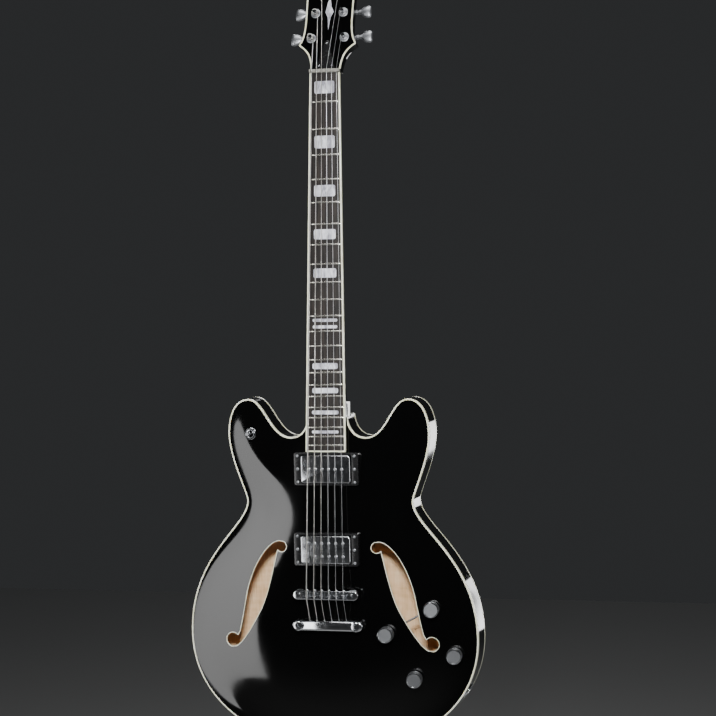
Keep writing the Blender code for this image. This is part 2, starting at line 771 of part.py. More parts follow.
def build_knobs():
    """Each knob is one turned piece with the pot's shaft that it is fixed to."""
    for name, (x, station) in KNOB_PLACES.items():
        outward = top_normal(x, station)
        seat = at(x, station, top_depth(x, station)) + outward * SEAT_GAP * MM
        turned(name, [
            (0, 15.0), (9.6, 15.0), (10.5, 13.8), (10.8, 2.2), (3.0, 2.2), (3.0, -12.0), (0, -12.0),
        ], BODY, CHROME, seat, outward, 16)


def build_wiring():
    """Four pots and the switch frame, soldered into one loom."""
    joined = []
    for name, (x, station) in KNOB_PLACES.items():
        outward = top_normal(x, station)
        seat = at(x, station, top_depth(x, station)) + outward * SEAT_GAP * MM
        joined.append(turned(f"pot_of_{name}", [
            (0, -13.0), (3.3, -13.0), (3.3, 1.4), (4.6, 1.4), (4.6, -8.2), (12.0, -8.2),
            (12.0, -18.0), (0, -18.0),
        ], BODY, STEEL, seat, outward, 10))
    x, station = SWITCH_PLACE
    outward = top_normal(x, station)
    seat = at(x, station, top_depth(x, station)) + outward * SEAT_GAP * MM
    joined.append(turned("switch_frame", [
        (0, -16.0), (4.6, -16.0), (4.6, 2.6), (6.0, 2.6), (6.0, -8.2), (9.5, -8.2),
        (9.5, -28.0), (0, -28.0),
    ], BODY, STEEL, seat, outward, 12))

    def pot_back(name):
        """A place in the back of a pot, below its bore."""
        x, station = KNOB_PLACES[name]
        seat = at(x, station, top_depth(x, station) - SEAT_GAP)
        return seat - top_normal(x, station) * 15.6 * MM

    neck_volume = pot_back("knob_neck_volume")
    links = [
        [neck_volume, pot_back("knob_bridge_volume")],
        [pot_back("knob_bridge_volume"), pot_back("knob_bridge_tone")],
        [neck_volume, pot_back("knob_neck_tone")],
        [seat - outward * 24 * MM, at(-98, 560, 28), at(-70, 600, 28), at(70, 600, 28),
         at(100, 605, 28), at(112, 640, 26), at(138, 690, 22), neck_volume],
    ]
    for link in links:
        joined.append(as_mesh(rod("loom_wire", link, 1.4, BODY, None)))
    loom = joined[0]
    loom.name = "wiring_harness"
    loom.data.name = "wiring_harness"
    for piece in joined[1:]:
        boolean(loom, as_cutter(piece), "UNION")


def as_mesh(drawn):
    """A curve object's welded mesh, in its place."""
    bpy.context.view_layer.update()
    evaluated = drawn.evaluated_get(bpy.context.evaluated_depsgraph_get())
    mesh = bpy.data.meshes.new_from_object(evaluated)
    name, parent = drawn.name, drawn.parent
    bpy.data.objects.remove(drawn)
    bm = bmesh.new()
    bm.from_mesh(mesh)
    bmesh.ops.remove_doubles(bm, verts=bm.verts, dist=0.00001)
    bm.to_mesh(mesh)
    bm.free()
    return add_object(name, mesh, parent, None)


def build_switch_lever():
    x, station = SWITCH_PLACE
    outward = top_normal(x, station)
    pivot = at(x, station, top_depth(x, station)) - outward * 4.0 * MM
    turned("switch_lever", [
        (0, 20.0), (3.2, 18.4), (3.4, 14.5), (1.7, 9.0), (1.7, 3.0), (3.4, 0.8), (3.4, -0.8),
        (1.5, -3.0), (1.5, -9.0), (0, -9.0),
    ], BODY, CHROME, pivot, outward, 10)


def build_jack():
    point, outward = jack_place()
    mouth = at(point.x, point.y, RIM_DEPTH / 2)
    turned("jack", [
        (0, -22.0), (3.7, -22.0), (3.7, 0.0), (4.8, 2.8), (7.0, 2.8), (11.0, 1.8), (11.0, 0.9), (5.6, 0.9),
        (5.6, -6.0), (8.5, -6.0), (8.5, -25.0), (0, -25.0),
    ], BODY, CHROME, mouth, outward, 14)


def build_strap_buttons():
    profile = [
        (0, 13.5), (6.0, 13.5), (7.0, 12.7), (7.0, 11.6), (3.7, 8.0), (6.0, 1.6), (6.0, 0.6),
        (2.1, 0.6), (2.1, -22.0), (0, -22.0),
    ]
    tail = at(0, TAIL_STATION, RIM_DEPTH / 2)
    turned("strap_button_end", profile, BODY, CHROME, tail, (0, 0, -1), 12)
    heel = at(0, 460, RIM_DEPTH)
    turned("strap_button_neck", profile, BODY, CHROME, heel, (0, 1, 0), 12)


# ---------------------------------------------------------------- assembly

clear_scene()
PARTS = new_collection("electric_guitar")
CUTTERS = new_collection("cutters")

BLACK_GLOSS = material("black_gloss", (0.008, 0.008, 0.009), 0.08)
IVORY = material("ivory_binding", (0.78, 0.76, 0.62), 0.35)
MAPLE = material("maple_block", (0.62, 0.45, 0.26), 0.6)
ROSEWOOD = material("dark_rosewood", (0.03, 0.02, 0.015), 0.5)
BONE = material("bone_nut", (0.72, 0.70, 0.62), 0.4)
BLACK_PLASTIC = material("black_plastic", (0.012, 0.012, 0.013), 0.3)
CHROME = material("chrome", (0.80, 0.81, 0.83), 0.12, 1.0)
NICKEL = material("nickel_wound", (0.62, 0.60, 0.57), 0.35, 1.0)
STEEL = material("plain_steel", (0.66, 0.66, 0.67), 0.25, 1.0)

BODY_OUTLINE = mirrored(along_bezier(OUTLINE_NODES, OUTLINE_STEPS))

CROWN_REACH = reach_from_edge(0, CROWN_STATION)

BODY = frame("body_frame", at(0, -NUT_Z, FACE_Y), 0)
nut_depth = BOARD_END_DEPTH + BOARD_LENGTH * math.sin(NECK_ANGLE)
nut_drop = BOARD_LENGTH * (1 - math.cos(NECK_ANGLE))
NUT_PLACE = at(0, nut_drop - NUT_Z, FACE_Y + nut_depth)
NECK = frame("neck_frame", NUT_PLACE, -NECK_ANGLE)
HEAD = frame("head_frame", NUT_PLACE, -NECK_ANGLE - HEAD_ANGLE)
bpy.context.view_layer.update()

build_body()
build_neck()
build_fingerboard()
build_nut()
build_truss_rod()
build_tuners()
build_pickups()
build_bridge()
build_tailpiece()
build_knobs()
build_wiring()
build_switch_lever()
build_jack()
build_strap_buttons()
build_strings()
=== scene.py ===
import math

import bpy
import numpy as np
from mathutils import Matrix, Vector


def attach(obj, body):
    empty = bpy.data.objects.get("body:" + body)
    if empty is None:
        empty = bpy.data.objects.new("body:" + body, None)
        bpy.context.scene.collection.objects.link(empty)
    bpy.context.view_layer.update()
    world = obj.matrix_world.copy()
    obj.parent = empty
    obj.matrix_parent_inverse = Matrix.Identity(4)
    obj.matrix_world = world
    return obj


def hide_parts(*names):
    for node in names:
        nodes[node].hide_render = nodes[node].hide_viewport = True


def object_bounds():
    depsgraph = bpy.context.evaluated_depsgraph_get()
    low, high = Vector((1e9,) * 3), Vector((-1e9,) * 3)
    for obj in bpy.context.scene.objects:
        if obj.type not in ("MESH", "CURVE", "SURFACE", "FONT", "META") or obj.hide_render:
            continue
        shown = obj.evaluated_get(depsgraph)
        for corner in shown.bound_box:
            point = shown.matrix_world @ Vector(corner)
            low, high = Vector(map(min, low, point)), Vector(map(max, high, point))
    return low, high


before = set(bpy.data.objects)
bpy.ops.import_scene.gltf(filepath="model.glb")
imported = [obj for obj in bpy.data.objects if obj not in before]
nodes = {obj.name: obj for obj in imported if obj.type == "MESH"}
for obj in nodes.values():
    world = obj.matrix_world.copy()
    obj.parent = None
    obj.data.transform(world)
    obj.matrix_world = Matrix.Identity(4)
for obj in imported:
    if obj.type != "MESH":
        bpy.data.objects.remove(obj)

cadLow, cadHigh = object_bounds()
bpy.ops.object.select_all(action="DESELECT")   # the loaded nodes arrive selected
mm = 0.001
forward = Vector((0, -1, 0))                   # out of the guitar's face

# Lengths in mm that more than one piece needs. A place is (x, station, depth): the station counts down
# from the nut, and the depth counts backwards from the plane of the front binding.
guitar = {
    "faceY": -38.0, "nutZ": -11.5, "scaleLength": 711.2, "frets": 22,
    "neckAngle": math.radians(4.4), "headAngle": math.radians(14.0),
    "boardLength": 522.0, "boardEndDepth": -14.0, "boardThickness": 6.0,
    "boardHalfAtNut": 21.5, "boardHalfAtEnd": 28.5, "boardRadius": 305.0,
    "headFace": 4.5, "headThickness": 14.5, "rimDepth": 42.3, "plate": 5.0, "binding": 2.2,
    "archRise": 12.0, "archPole": 690.0, "crownStation": 735.0, "tailStation": 935.0,
    "nutPitch": 7.1, "bridgePitch": 10.4, "stringAtNut": -1.6,
    "stringRadii": (0.86, 0.68, 0.50, 0.36, 0.26, 0.22),
    "tunerRows": ((23.7, 53.3), (19.8, 90.5), (16.0, 127.0)),
}


# Small helpers for modelling

def place(x, station, depth):                  # mm in a frame, as metres
    return Vector((x, depth, -station)) * mm


nutSetback = guitar["boardEndDepth"] + guitar["boardLength"] * math.sin(guitar["neckAngle"])
nutDrop = guitar["boardLength"] * (1 - math.cos(guitar["neckAngle"]))
nutSpot = Vector((0, guitar["faceY"] + nutSetback, guitar["nutZ"] - nutDrop)) * mm
bodyFrame = Matrix.Translation(Vector((0, guitar["faceY"], guitar["nutZ"])) * mm)
neckFrame = Matrix.Translation(nutSpot) @ Matrix.Rotation(-guitar["neckAngle"], 4, "X")
headFrame = Matrix.Translation(nutSpot) @ Matrix.Rotation(-guitar["neckAngle"] - guitar["headAngle"], 4,
                                                          "X")


def pick(*objs):                               # only these are selected, and the first is active
    bpy.ops.object.select_all(action="DESELECT")
    for obj in objs:
        obj.select_set(True)
    bpy.context.view_layer.objects.active = objs[0]
    return objs[0]


def bake(obj, matrix=None):                    # the piece's place goes into its mesh
    if matrix is not None:
        obj.matrix_world = matrix @ obj.matrix_world
    pick(obj)
    bpy.ops.object.transform_apply(location=True, rotation=True, scale=True)
    return obj


def applyModifiers(obj):
    pick(obj)
    for modifier in list(obj.modifiers):
        bpy.ops.object.modifier_apply(modifier=modifier.name)
    return obj


def soften(obj, width, segments=2, angle=35):  # rounds the sharp edges
    bevel = obj.modifiers.new("soften", "BEVEL")
    bevel.width = width * mm
    bevel.segments = segments
    bevel.limit_method = "ANGLE"
    bevel.angle_limit = math.radians(angle)
    bevel.harden_normals = False
    return applyModifiers(obj)


def carve(obj, *tools, operation="DIFFERENCE", keep=False):
    for tool in tools:
        cut = obj.modifiers.new("cut", "BOOLEAN")
        cut.operation = operation
        cut.solver = "EXACT"
        cut.object = tool
        applyModifiers(obj)
        if not keep:
            bpy.data.objects.remove(tool)
    return obj


def together(pieces):                          # joined into the first
    pick(*pieces)
    bpy.ops.object.join()
    return bpy.context.object


def copied(master, matrix):                    # a copy with a mesh of its own, moved into place
    twin = master.copy()
    twin.data = master.data.copy()
    bpy.context.scene.collection.objects.link(twin)
    return bake(twin, matrix)


def aimed(spot, outward):                      # a frame at spot, whose Z looks outward
    return Matrix.Translation(spot) @ Vector(outward).to_track_quat("Z", "Y").to_matrix().to_4x4()


def turned(profile, matrix=None, sides=40, hollow=False):
    # a disc extruded and scaled from one (radius, height) to the next; a hollow one comes back to its start
    radius, height = profile[0]
    bpy.ops.mesh.primitive_circle_add(
        vertices=sides, radius=radius * mm, fill_type="NOTHING" if hollow else "NGON")
    obj = bpy.context.object
    bpy.ops.object.mode_set(mode="EDIT")
    bpy.ops.mesh.select_all(action="SELECT")
    bpy.ops.transform.translate(value=(0, 0, height * mm))
    for nextRadius, nextHeight in profile[1:]:
        rise = (nextHeight - height) * mm
        bpy.ops.mesh.extrude_region_move(TRANSFORM_OT_translate={"value": (0, 0, rise)})
        share = nextRadius / radius
        bpy.ops.transform.resize(value=(share, share, 1), center_override=(0, 0, nextHeight * mm))
        radius, height = nextRadius, nextHeight
    bpy.ops.mesh.select_all(action="SELECT")
    bpy.ops.mesh.remove_doubles(threshold=0.000001)
    bpy.ops.mesh.normals_make_consistent(inside=False)
    bpy.ops.object.mode_set(mode="OBJECT")
    return bake(obj, matrix)


def block(low, high, matrix=None, bevel=0.0, segments=3):
    a, b = place(*low), place(*high)
    bpy.ops.mesh.primitive_cube_add(size=1, location=(a + b) / 2,
                                    scale=[abs(b[i] - a[i]) for i in range(3)])
    obj = bake(bpy.context.object)
    if bevel:
        soften(obj, bevel, segments)
    return bake(obj, matrix)


def wrapped(rings, closedEnds=True, joined=True):
    # a grid with one row to a ring: its seam is merged and its open ends are filled
    rows, columns = len(rings), len(rings[0]) + (1 if joined else 0)
    bpy.ops.mesh.primitive_grid_add(x_subdivisions=columns - 1, y_subdivisions=rows - 1, size=1)
    obj = bpy.context.object
    for vert in obj.data.vertices:
        column = round((vert.co.x + 0.5) * (columns - 1)) % len(rings[0])
        row = round((vert.co.y + 0.5) * (rows - 1))
        vert.co = rings[row][column]
    bpy.ops.object.mode_set(mode="EDIT")
    bpy.ops.mesh.select_all(action="SELECT")
    bpy.ops.mesh.remove_doubles(threshold=0.000001)
    if closedEnds:
        bpy.ops.mesh.fill_holes(sides=0)
    bpy.ops.mesh.select_all(action="SELECT")
    bpy.ops.mesh.normals_make_consistent(inside=False)
    bpy.ops.object.mode_set(mode="OBJECT")
    return obj


def drawn(outline, near, far, matrix=None, rounding=0.0, holes=()):
    # a flat outline of (x, station) filled and given its thickness between two depths
    curve = bpy.data.curves.new("outline", "CURVE")
    curve.dimensions = "2D"
    curve.fill_mode = "BOTH"
    curve.extrude = (far - near) * mm / 2
    for points in (outline, *holes):
        spline = curve.splines.new("POLY")
        spline.points.add(len(points) - 1)
        for point, spot in zip(spline.points, points):
            point.co = (spot[0] * mm, -spot[1] * mm, 0, 1)
        spline.use_cyclic_u = True
    obj = bpy.data.objects.new("outline", curve)
    bpy.context.scene.collection.objects.link(obj)
    pick(obj)
    bpy.ops.object.convert(target="MESH")
    obj = bpy.context.object
    obj.matrix_world = Matrix.Translation(place(0, 0, (near + far) / 2)) @ Matrix.Rotation(math.pi / 2, 4,
                                                                                           "X")
    bake(obj)
    bpy.ops.object.mode_set(mode="EDIT")
    bpy.ops.mesh.select_all(action="SELECT")
    bpy.ops.mesh.remove_doubles(threshold=0.000005)
    bpy.ops.mesh.normals_make_consistent(inside=False)
    bpy.ops.mesh.dissolve_limited(angle_limit=math.radians(1))
    bpy.ops.object.mode_set(mode="OBJECT")
    if rounding:
        soften(obj, rounding, 3, 50)
    return bake(obj, matrix)


# nodes are (x, station, heading, handle before, handle after)
def bezierPoints(curveNodes, steps):
    points = []
    for first, last, count in zip(curveNodes, curveNodes[1:], steps):
        start, end = Vector(first[:2]), Vector(last[:2])
        leave = start + Vector(first[2]).normalized() * first[4]
        arrive = end - Vector(last[2]).normalized() * last[3]
        for step in range(count):
            t = step / count
            u = 1 - t
            points.append(u**3 * start + 3 * u * u * t * leave + 3 * u * t * t * arrive + t**3 * end)
    points.append(Vector(curveNodes[-1][:2]))
    return points


def arcPoints(centre, radius, first, last, count):
    angles = [math.radians(first + (last - first) * step / count) for step in range(count + 1)]
    return [Vector(centre) + radius * Vector((math.cos(a), math.sin(a))) for a in angles]


def mirrored(half):                            # a closed outline from its treble half
    return list(half) + [Vector((-p.x, p.y)) for p in reversed(half) if abs(p.x) > 0.01]


def inset(outline, width):                     # moved inwards by a width
    moved = []
    for index, point in enumerate(outline):
        before = (point - outline[index - 1]).normalized()
        after = (outline[(index + 1) % len(outline)] - point).normalized()
        heading = (before + after).normalized()
        moved.append(point + Vector((-heading.y, heading.x)) * width / max(0.5, heading.dot(before)))
    return moved


def finished(obj, name, look, body="guitar", stands=(), angle=35):
    obj.name = name
    obj.data.name = name
    if look is not None:
        obj.data.materials.clear()
        obj.data.materials.append(look)
    pick(obj)
    bpy.ops.object.shade_smooth_by_angle(angle=math.radians(angle))
    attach(obj, body)
    if stands:
        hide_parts(*stands)
    return obj


# Materials

def linear(hexCode):                           # sRGB hex to the linear colour that a shader reads
    channels = [int(hexCode[i:i + 2], 16) / 255 for i in (1, 3, 5)]
    return (*[c / 12.92 if c <= 0.04045 else ((c + 0.055) / 1.055) ** 2.4 for c in channels], 1.0)


def perMm(size):                               # the noise scale whose cells are this many mm across
    return 1000.0 / size


def addNode(tree, kind, settings=(), links=()):
    node = tree.nodes.new(kind)
    for key, value in dict(settings).items():
        if isinstance(key, int) or key in node.inputs:
            node.inputs[key].default_value = value
        else:
            setattr(node, key, value)
    for key, source in dict(links).items():
        tree.links.new(source, node.inputs[key])
    return node


def newMaterial(name, settings):
    made = bpy.data.materials.new(name)
    made.use_nodes = True
    shader = made.node_tree.nodes["Principled BSDF"]
    for key, value in settings.items():
        shader.inputs[key].default_value = value
    where = made.node_tree.nodes.new("ShaderNodeTexCoord")
    return made, made.node_tree, shader, where.outputs["Object"]


def setRamp(node, stops):                      # (position, hex) pairs
    ramp = node.color_ramp
    while len(ramp.elements) < len(stops):
        ramp.elements.new(0.5)
    for element, (position, code) in zip(ramp.elements, stops):
        element.position = position
        element.color = linear(code)


def makeLacquer():
    # Polyester lacquer over black stain, sprayed and buffed: a mirror with a trace of orange peel and
    # wiping haze.
    look, tree, shader, where = newMaterial("blackPolyesterLacquerBuffed", {
        "Base Color": linear("#030303"), "Roughness": 0.05, "IOR": 1.5})
    haze = addNode(tree, "ShaderNodeTexNoise", {"Scale": perMm(70), "Detail": 3.0}, {"Vector": where})
    rough = addNode(tree, "ShaderNodeMapRange", {"From Min": 0.35, "From Max": 0.75, "To Min": 0.035,
                                                 "To Max": 0.1},
                    {"Value": haze.outputs["Fac"]})
    tree.links.new(rough.outputs["Result"], shader.inputs["Roughness"])
    peel = addNode(tree, "ShaderNodeTexNoise", {"Scale": perMm(6), "Detail": 1.0}, {"Vector": where})
    bump = addNode(tree, "ShaderNodeBump", {"Strength": 0.04, "Distance": 0.0001},
                   {"Height": peel.outputs["Fac"]})
    tree.links.new(bump.outputs["Normal"], shader.inputs["Normal"])
    return look


def makeMaple():
    # Flamed maple plywood and block, sanded and unsealed: pale tan with soft cross bands and fine long
    # grain.
    look, tree, shader, where = newMaterial("mapleSandedUnsealed", {"Roughness": 0.62, "IOR": 1.45})
    along = addNode(tree, "ShaderNodeMapping", {"Scale": (1.0, 1.0, 0.08)}, {"Vector": where})
    grain = addNode(tree, "ShaderNodeTexNoise", {"Scale": perMm(2.2), "Detail": 4.0},
                    {"Vector": along.outputs["Vector"]})
    across = addNode(tree, "ShaderNodeMapping", {"Scale": (0.25, 0.25, 1.0)}, {"Vector": where})
    flame = addNode(tree, "ShaderNodeTexNoise", {"Scale": perMm(9), "Detail": 2.0},
                    {"Vector": across.outputs["Vector"]})
    both = addNode(tree, "ShaderNodeMath", {"operation": "ADD"}, {0: grain.outputs["Fac"],
                                                                  1: flame.outputs["Fac"]})
    half = addNode(tree, "ShaderNodeMath", {"operation": "MULTIPLY", 1: 0.5}, {0: both.outputs[0]})
    tone = addNode(tree, "ShaderNodeValToRGB", {}, {"Fac": half.outputs[0]})
    setRamp(tone, ((0.3, "#cda679"), (0.5, "#e3c096"), (0.72, "#f0d6b0")))
    tree.links.new(tone.outputs["Color"], shader.inputs["Base Color"])
    bump = addNode(tree, "ShaderNodeBump", {"Strength": 0.15, "Distance": 0.0002},
                   {"Height": grain.outputs["Fac"]})
    tree.links.new(bump.outputs["Normal"], shader.inputs["Normal"])
    return look


def makeHoleEdgeShade():
    # Maple plywood sawn for the f-hole: its cut edge is painted dark red brown for the shade that falls on it
    # inside the hole, with a thin line to each ply.
    look, tree, shader, where = newMaterial("plywoodEdgePaintedShade", {"Roughness": 0.55, "IOR": 1.45})
    ply = addNode(tree, "ShaderNodeTexWave", {"bands_direction": "Y", "Scale": perMm(1.6) * math.tau / 20,
                                              "Distortion": 0.6},
                  {"Vector": where})
    tone = addNode(tree, "ShaderNodeValToRGB", {}, {"Fac": ply.outputs["Fac"]})
    # the dark red brown tones are painted shade on the wall of the hole
    setRamp(tone, ((0.2, "#26100a"), (0.8, "#4d2415")))
    tree.links.new(tone.outputs["Color"], shader.inputs["Base Color"])
    return look


def makeIvory():
    # Cellulose binding, scraped flush and lacquered: warm greenish ivory, a little uneven, with a soft
    # gloss.
    look, tree, shader, where = newMaterial("celluloidBindingScraped", {
        "Roughness": 0.28, "IOR": 1.5, "Coat Weight": 0.5, "Coat Roughness": 0.08,
        "Subsurface Weight": 0.08,
        "Subsurface Radius": (0.002, 0.0015, 0.0008)})
    cloud = addNode(tree, "ShaderNodeTexNoise", {"Scale": perMm(24), "Detail": 4.0}, {"Vector": where})
    tone = addNode(tree, "ShaderNodeValToRGB", {}, {"Fac": cloud.outputs["Fac"]})
    setRamp(tone, ((0.3, "#d9d8b8"), (0.55, "#e6e6d0"), (0.8, "#efefe2")))
    tree.links.new(tone.outputs["Color"], shader.inputs["Base Color"])
    scraper = addNode(tree, "ShaderNodeTexNoise", {"Scale": perMm(1.2), "Detail": 2.0}, {"Vector": where})
    bump = addNode(tree, "ShaderNodeBump", {"Strength": 0.06, "Distance": 0.0001},
                   {"Height": scraper.outputs["Fac"]})
    tree.links.new(bump.outputs["Normal"], shader.inputs["Normal"])
    return look


def makeRosewood():
    # Rosewood, planed and oiled: near black with brown streaks and open pores that run along the board.
    look, tree, shader, where = newMaterial("rosewoodPlanedOiled", {"Roughness": 0.42, "IOR": 1.47,
                                                                  "Specular IOR Level": 0.25})
    along = addNode(tree, "ShaderNodeMapping", {"Scale": (1.0, 1.0, 0.035)}, {"Vector": where})
    streak = addNode(tree, "ShaderNodeTexNoise", {"Scale": perMm(3.4), "Detail": 5.0, "Distortion": 0.4},
                     {"Vector": along.outputs["Vector"]})
    tone = addNode(tree, "ShaderNodeValToRGB", {}, {"Fac": streak.outputs["Fac"]})
    setRamp(tone, ((0.35, "#120f0e"), (0.5, "#1d1917"), (0.66, "#2c2622")))
    tree.links.new(tone.outputs["Color"], shader.inputs["Base Color"])
    grain = addNode(tree, "ShaderNodeMapping", {"Scale": (1.0, 1.0, 0.1)}, {"Vector": where})
    pore = addNode(tree, "ShaderNodeTexNoise", {"Scale": perMm(0.9), "Detail": 2.0},
                   {"Vector": grain.outputs["Vector"]})
    rough = addNode(tree, "ShaderNodeMapRange", {"To Min": 0.32, "To Max": 0.6},
                    {"Value": pore.outputs["Fac"]})
    tree.links.new(rough.outputs["Result"], shader.inputs["Roughness"])
    bump = addNode(tree, "ShaderNodeBump", {"Strength": 0.35, "Distance": 0.0002},
                   {"Height": pore.outputs["Fac"]})
    tree.links.new(bump.outputs["Normal"], shader.inputs["Normal"])
    return look


def makeBone():
    # Bleached bone, filed and polished: grey white with faint long pores.
    look, tree, shader, where = newMaterial("boneFiledPolished", {"Roughness": 0.35, "IOR": 1.54})
    along = addNode(tree, "ShaderNodeMapping", {"Scale": (0.12, 1.0, 1.0)}, {"Vector": where})
    fleck = addNode(tree, "ShaderNodeTexNoise", {"Scale": perMm(0.8), "Detail": 3.0},
                    {"Vector": along.outputs["Vector"]})
    tone = addNode(tree, "ShaderNodeValToRGB", {}, {"Fac": fleck.outputs["Fac"]})
    setRamp(tone, ((0.3, "#7c7a72"), (0.6, "#8f8d85"), (0.8, "#a19f97")))
    tree.links.new(tone.outputs["Color"], shader.inputs["Base Color"])
    return look


def makeBlackPlastic():
    # ABS, injection moulded and tumbled: a dull black gloss with a faint moulding ripple.
    look, tree, shader, where = newMaterial("blackAbsMoulded", {
        "Base Color": linear("#101011"), "Roughness": 0.25, "IOR": 1.54})
    ripple = addNode(tree, "ShaderNodeTexNoise", {"Scale": perMm(5), "Detail": 3.0}, {"Vector": where})
    rough = addNode(tree, "ShaderNodeMapRange", {"To Min": 0.18, "To Max": 0.34},
                    {"Value": ripple.outputs["Fac"]})
    tree.links.new(rough.outputs["Result"], shader.inputs["Roughness"])
    bump = addNode(tree, "ShaderNodeBump", {"Strength": 0.05, "Distance": 0.0001},
                   {"Height": ripple.outputs["Fac"]})
    tree.links.new(bump.outputs["Normal"], shader.inputs["Normal"])
    return look


def makeMetal(name, colour, roughLow, roughHigh, cell, strength, stretch=(1.0, 1.0, 1.0)):
    look, tree, shader, where = newMaterial(name, {"Base Color": linear(colour), "Metallic": 1.0})
    moved = addNode(tree, "ShaderNodeMapping", {"Scale": stretch}, {"Vector": where})
    marks = addNode(tree, "ShaderNodeTexNoise", {"Scale": perMm(cell), "Detail": 3.0},
                    {"Vector": moved.outputs["Vector"]})
    rough = addNode(tree, "ShaderNodeMapRange", {"From Min": 0.3, "From Max": 0.7, "To Min": roughLow,
                                                 "To Max": roughHigh},
                    {"Value": marks.outputs["Fac"]})
    tree.links.new(rough.outputs["Result"], shader.inputs["Roughness"])
    bump = addNode(tree, "ShaderNodeBump", {"Strength": strength, "Distance": 0.0001},
                   {"Height": marks.outputs["Fac"]})
    tree.links.new(bump.outputs["Normal"], shader.inputs["Normal"])
    return look


def makePearloid():
    # Pearl cellulose, cut across the swirl and levelled: white streaks and grey clouds that shimmer.
    look, tree, shader, where = newMaterial("pearlCelluloidLevelled", {
        "Roughness": 0.22, "IOR": 1.5, "Coat Weight": 0.6, "Coat Roughness": 0.06, "Metallic": 0.12})
    along = addNode(tree, "ShaderNodeMapping", {"Scale": (1.0, 1.0, 0.3)}, {"Vector": where})
    swirl = addNode(tree, "ShaderNodeTexVoronoi", {"Scale": perMm(6.5), "feature": "SMOOTH_F1"},
                    {"Vector": along.outputs["Vector"]})
    cloud = addNode(tree, "ShaderNodeTexNoise", {"Scale": perMm(4), "Detail": 4.0, "Distortion": 1.2},
                    {"Vector": along.outputs["Vector"]})
    mixed = addNode(tree, "ShaderNodeMath", {"operation": "MULTIPLY_ADD", 1: 0.6}, {
        0: swirl.outputs["Distance"], 2: cloud.outputs["Fac"]})
    tone = addNode(tree, "ShaderNodeValToRGB", {}, {"Fac": mixed.outputs[0]})
    setRamp(tone, ((0.45, "#fbfbff"), (0.68, "#dcdde6"), (0.92, "#9a9aa4")))
    tree.links.new(tone.outputs["Color"], shader.inputs["Base Color"])
    return look


def makeWoundString():
    # Nickel-plated wrap on a steel core: ridges across the string, drawn 0.9 mm apart and not 0.4 so that
    # they show.
    look, tree, shader, where = newMaterial("nickelWoundWire", {"Base Color": linear("#a8a59f"),
                                                                "Metallic": 1.0,
                                                               "Roughness": 0.32})
    wave = addNode(tree, "ShaderNodeTexWave", {"bands_direction": "Z", "Scale": perMm(0.9) * math.tau / 20},
                   {"Vector": where})
    # The tone is painted dark in the gaps between the windings and light on their crests: painted shade and
    # painted highlight on the ridges.
    tone = addNode(tree, "ShaderNodeValToRGB", {}, {"Fac": wave.outputs["Fac"]})
    setRamp(tone, ((0.0, "#7a7977"), (0.6, "#cbc9c5")))
    tree.links.new(tone.outputs["Color"], shader.inputs["Base Color"])
    bump = addNode(tree, "ShaderNodeBump", {"Strength": 0.5, "Distance": 0.0002},
                   {"Height": wave.outputs["Fac"]})
    tree.links.new(bump.outputs["Normal"], shader.inputs["Normal"])
    return look


lacquer = makeLacquer()
maple = makeMaple()
holeEdgeShade = makeHoleEdgeShade()
ivory = makeIvory()
rosewood = makeRosewood()
bone = makeBone()
blackPlastic = makeBlackPlastic()
pearloid = makePearloid()
woundWire = makeWoundString()
# Chrome over nickel, buffed: a clean dark mirror with slight wiping marks.
chrome = makeMetal("chromePlateBuffed", "#c9cbce", 0.08, 0.17, 9, 0.06)
# Chrome with a satin turned top: tuner buttons and bushings, saddles, poles, ring screws, knob skirts, lever.
satinChrome = makeMetal("chromePlateSatinTurned", "#929497", 0.34, 0.48, 1.5, 0.1)
# Nickel silver drawn to fret wire and polished along the board.
fretMetal = makeMetal("nickelSilverDrawnPolished", "#c8c6be", 0.12, 0.28, 3, 0.05)
# Aluminium caps of the knobs, bead blasted and clear anodised: an even mid grey with little shine.
knobCap = makeMetal("aluminiumBeadBlasted", "#6f7174", 0.52, 0.66, 0.8, 0.2)
knobCap.node_tree.nodes["Principled BSDF"].inputs["Metallic"].default_value = 0.55
# Plain high-carbon steel wire, drawn and tinned: even grey with fine draw lines.
plainWire = makeMetal("tinnedSteelWireDrawn", "#cfd0d2", 0.28, 0.4, 2, 0.04, (1.0, 1.0, 0.05))
# Zinc-plated steel cans of the pots and the switch: dull and cloudy.
zinc = makeMetal("zincPlatedSteelStamped", "#8d8f93", 0.34, 0.55, 6, 0.1)
print("materials made")


# Stage: camera, floor and lights

stageSettings = {
    "target": (0.0181, -0.038, -0.3771), "yaw": 16.29, "pitch": 2.63, "roll": -1.39, "distance": 3.148,
    "lens": 115.642458, "sensor": 36.0, "shift": (0.02793296, -0.02793296),
    "floorDrop": 1.1, "floorColour": "#cfcfce", "worldColour": "#2e2f30",
}


def buildCamera(s):
    yaw, pitch, roll = (math.radians(s[key]) for key in ("yaw", "pitch", "roll"))
    back = Vector((math.sin(yaw) * math.cos(pitch), -math.cos(yaw) * math.cos(pitch), math.sin(pitch)))
    right = Vector((math.cos(yaw), math.sin(yaw), 0))
    up = back.cross(right)
    rightRolled = right * math.cos(roll) + up * math.sin(roll)
    upRolled = up * math.cos(roll) - right * math.sin(roll)
    data = bpy.data.cameras.new("camera")
    data.sensor_width = s["sensor"]
    data.lens = s["lens"]
    data.shift_x, data.shift_y = s["shift"]
    camera = bpy.data.objects.new("camera", data)
    bpy.context.scene.collection.objects.link(camera)
    turn = Matrix((rightRolled, upRolled, back)).transposed().to_4x4()
    camera.matrix_world = Matrix.Translation(Vector(s["target"]) + back * s["distance"]) @ turn
    bpy.context.scene.camera = camera


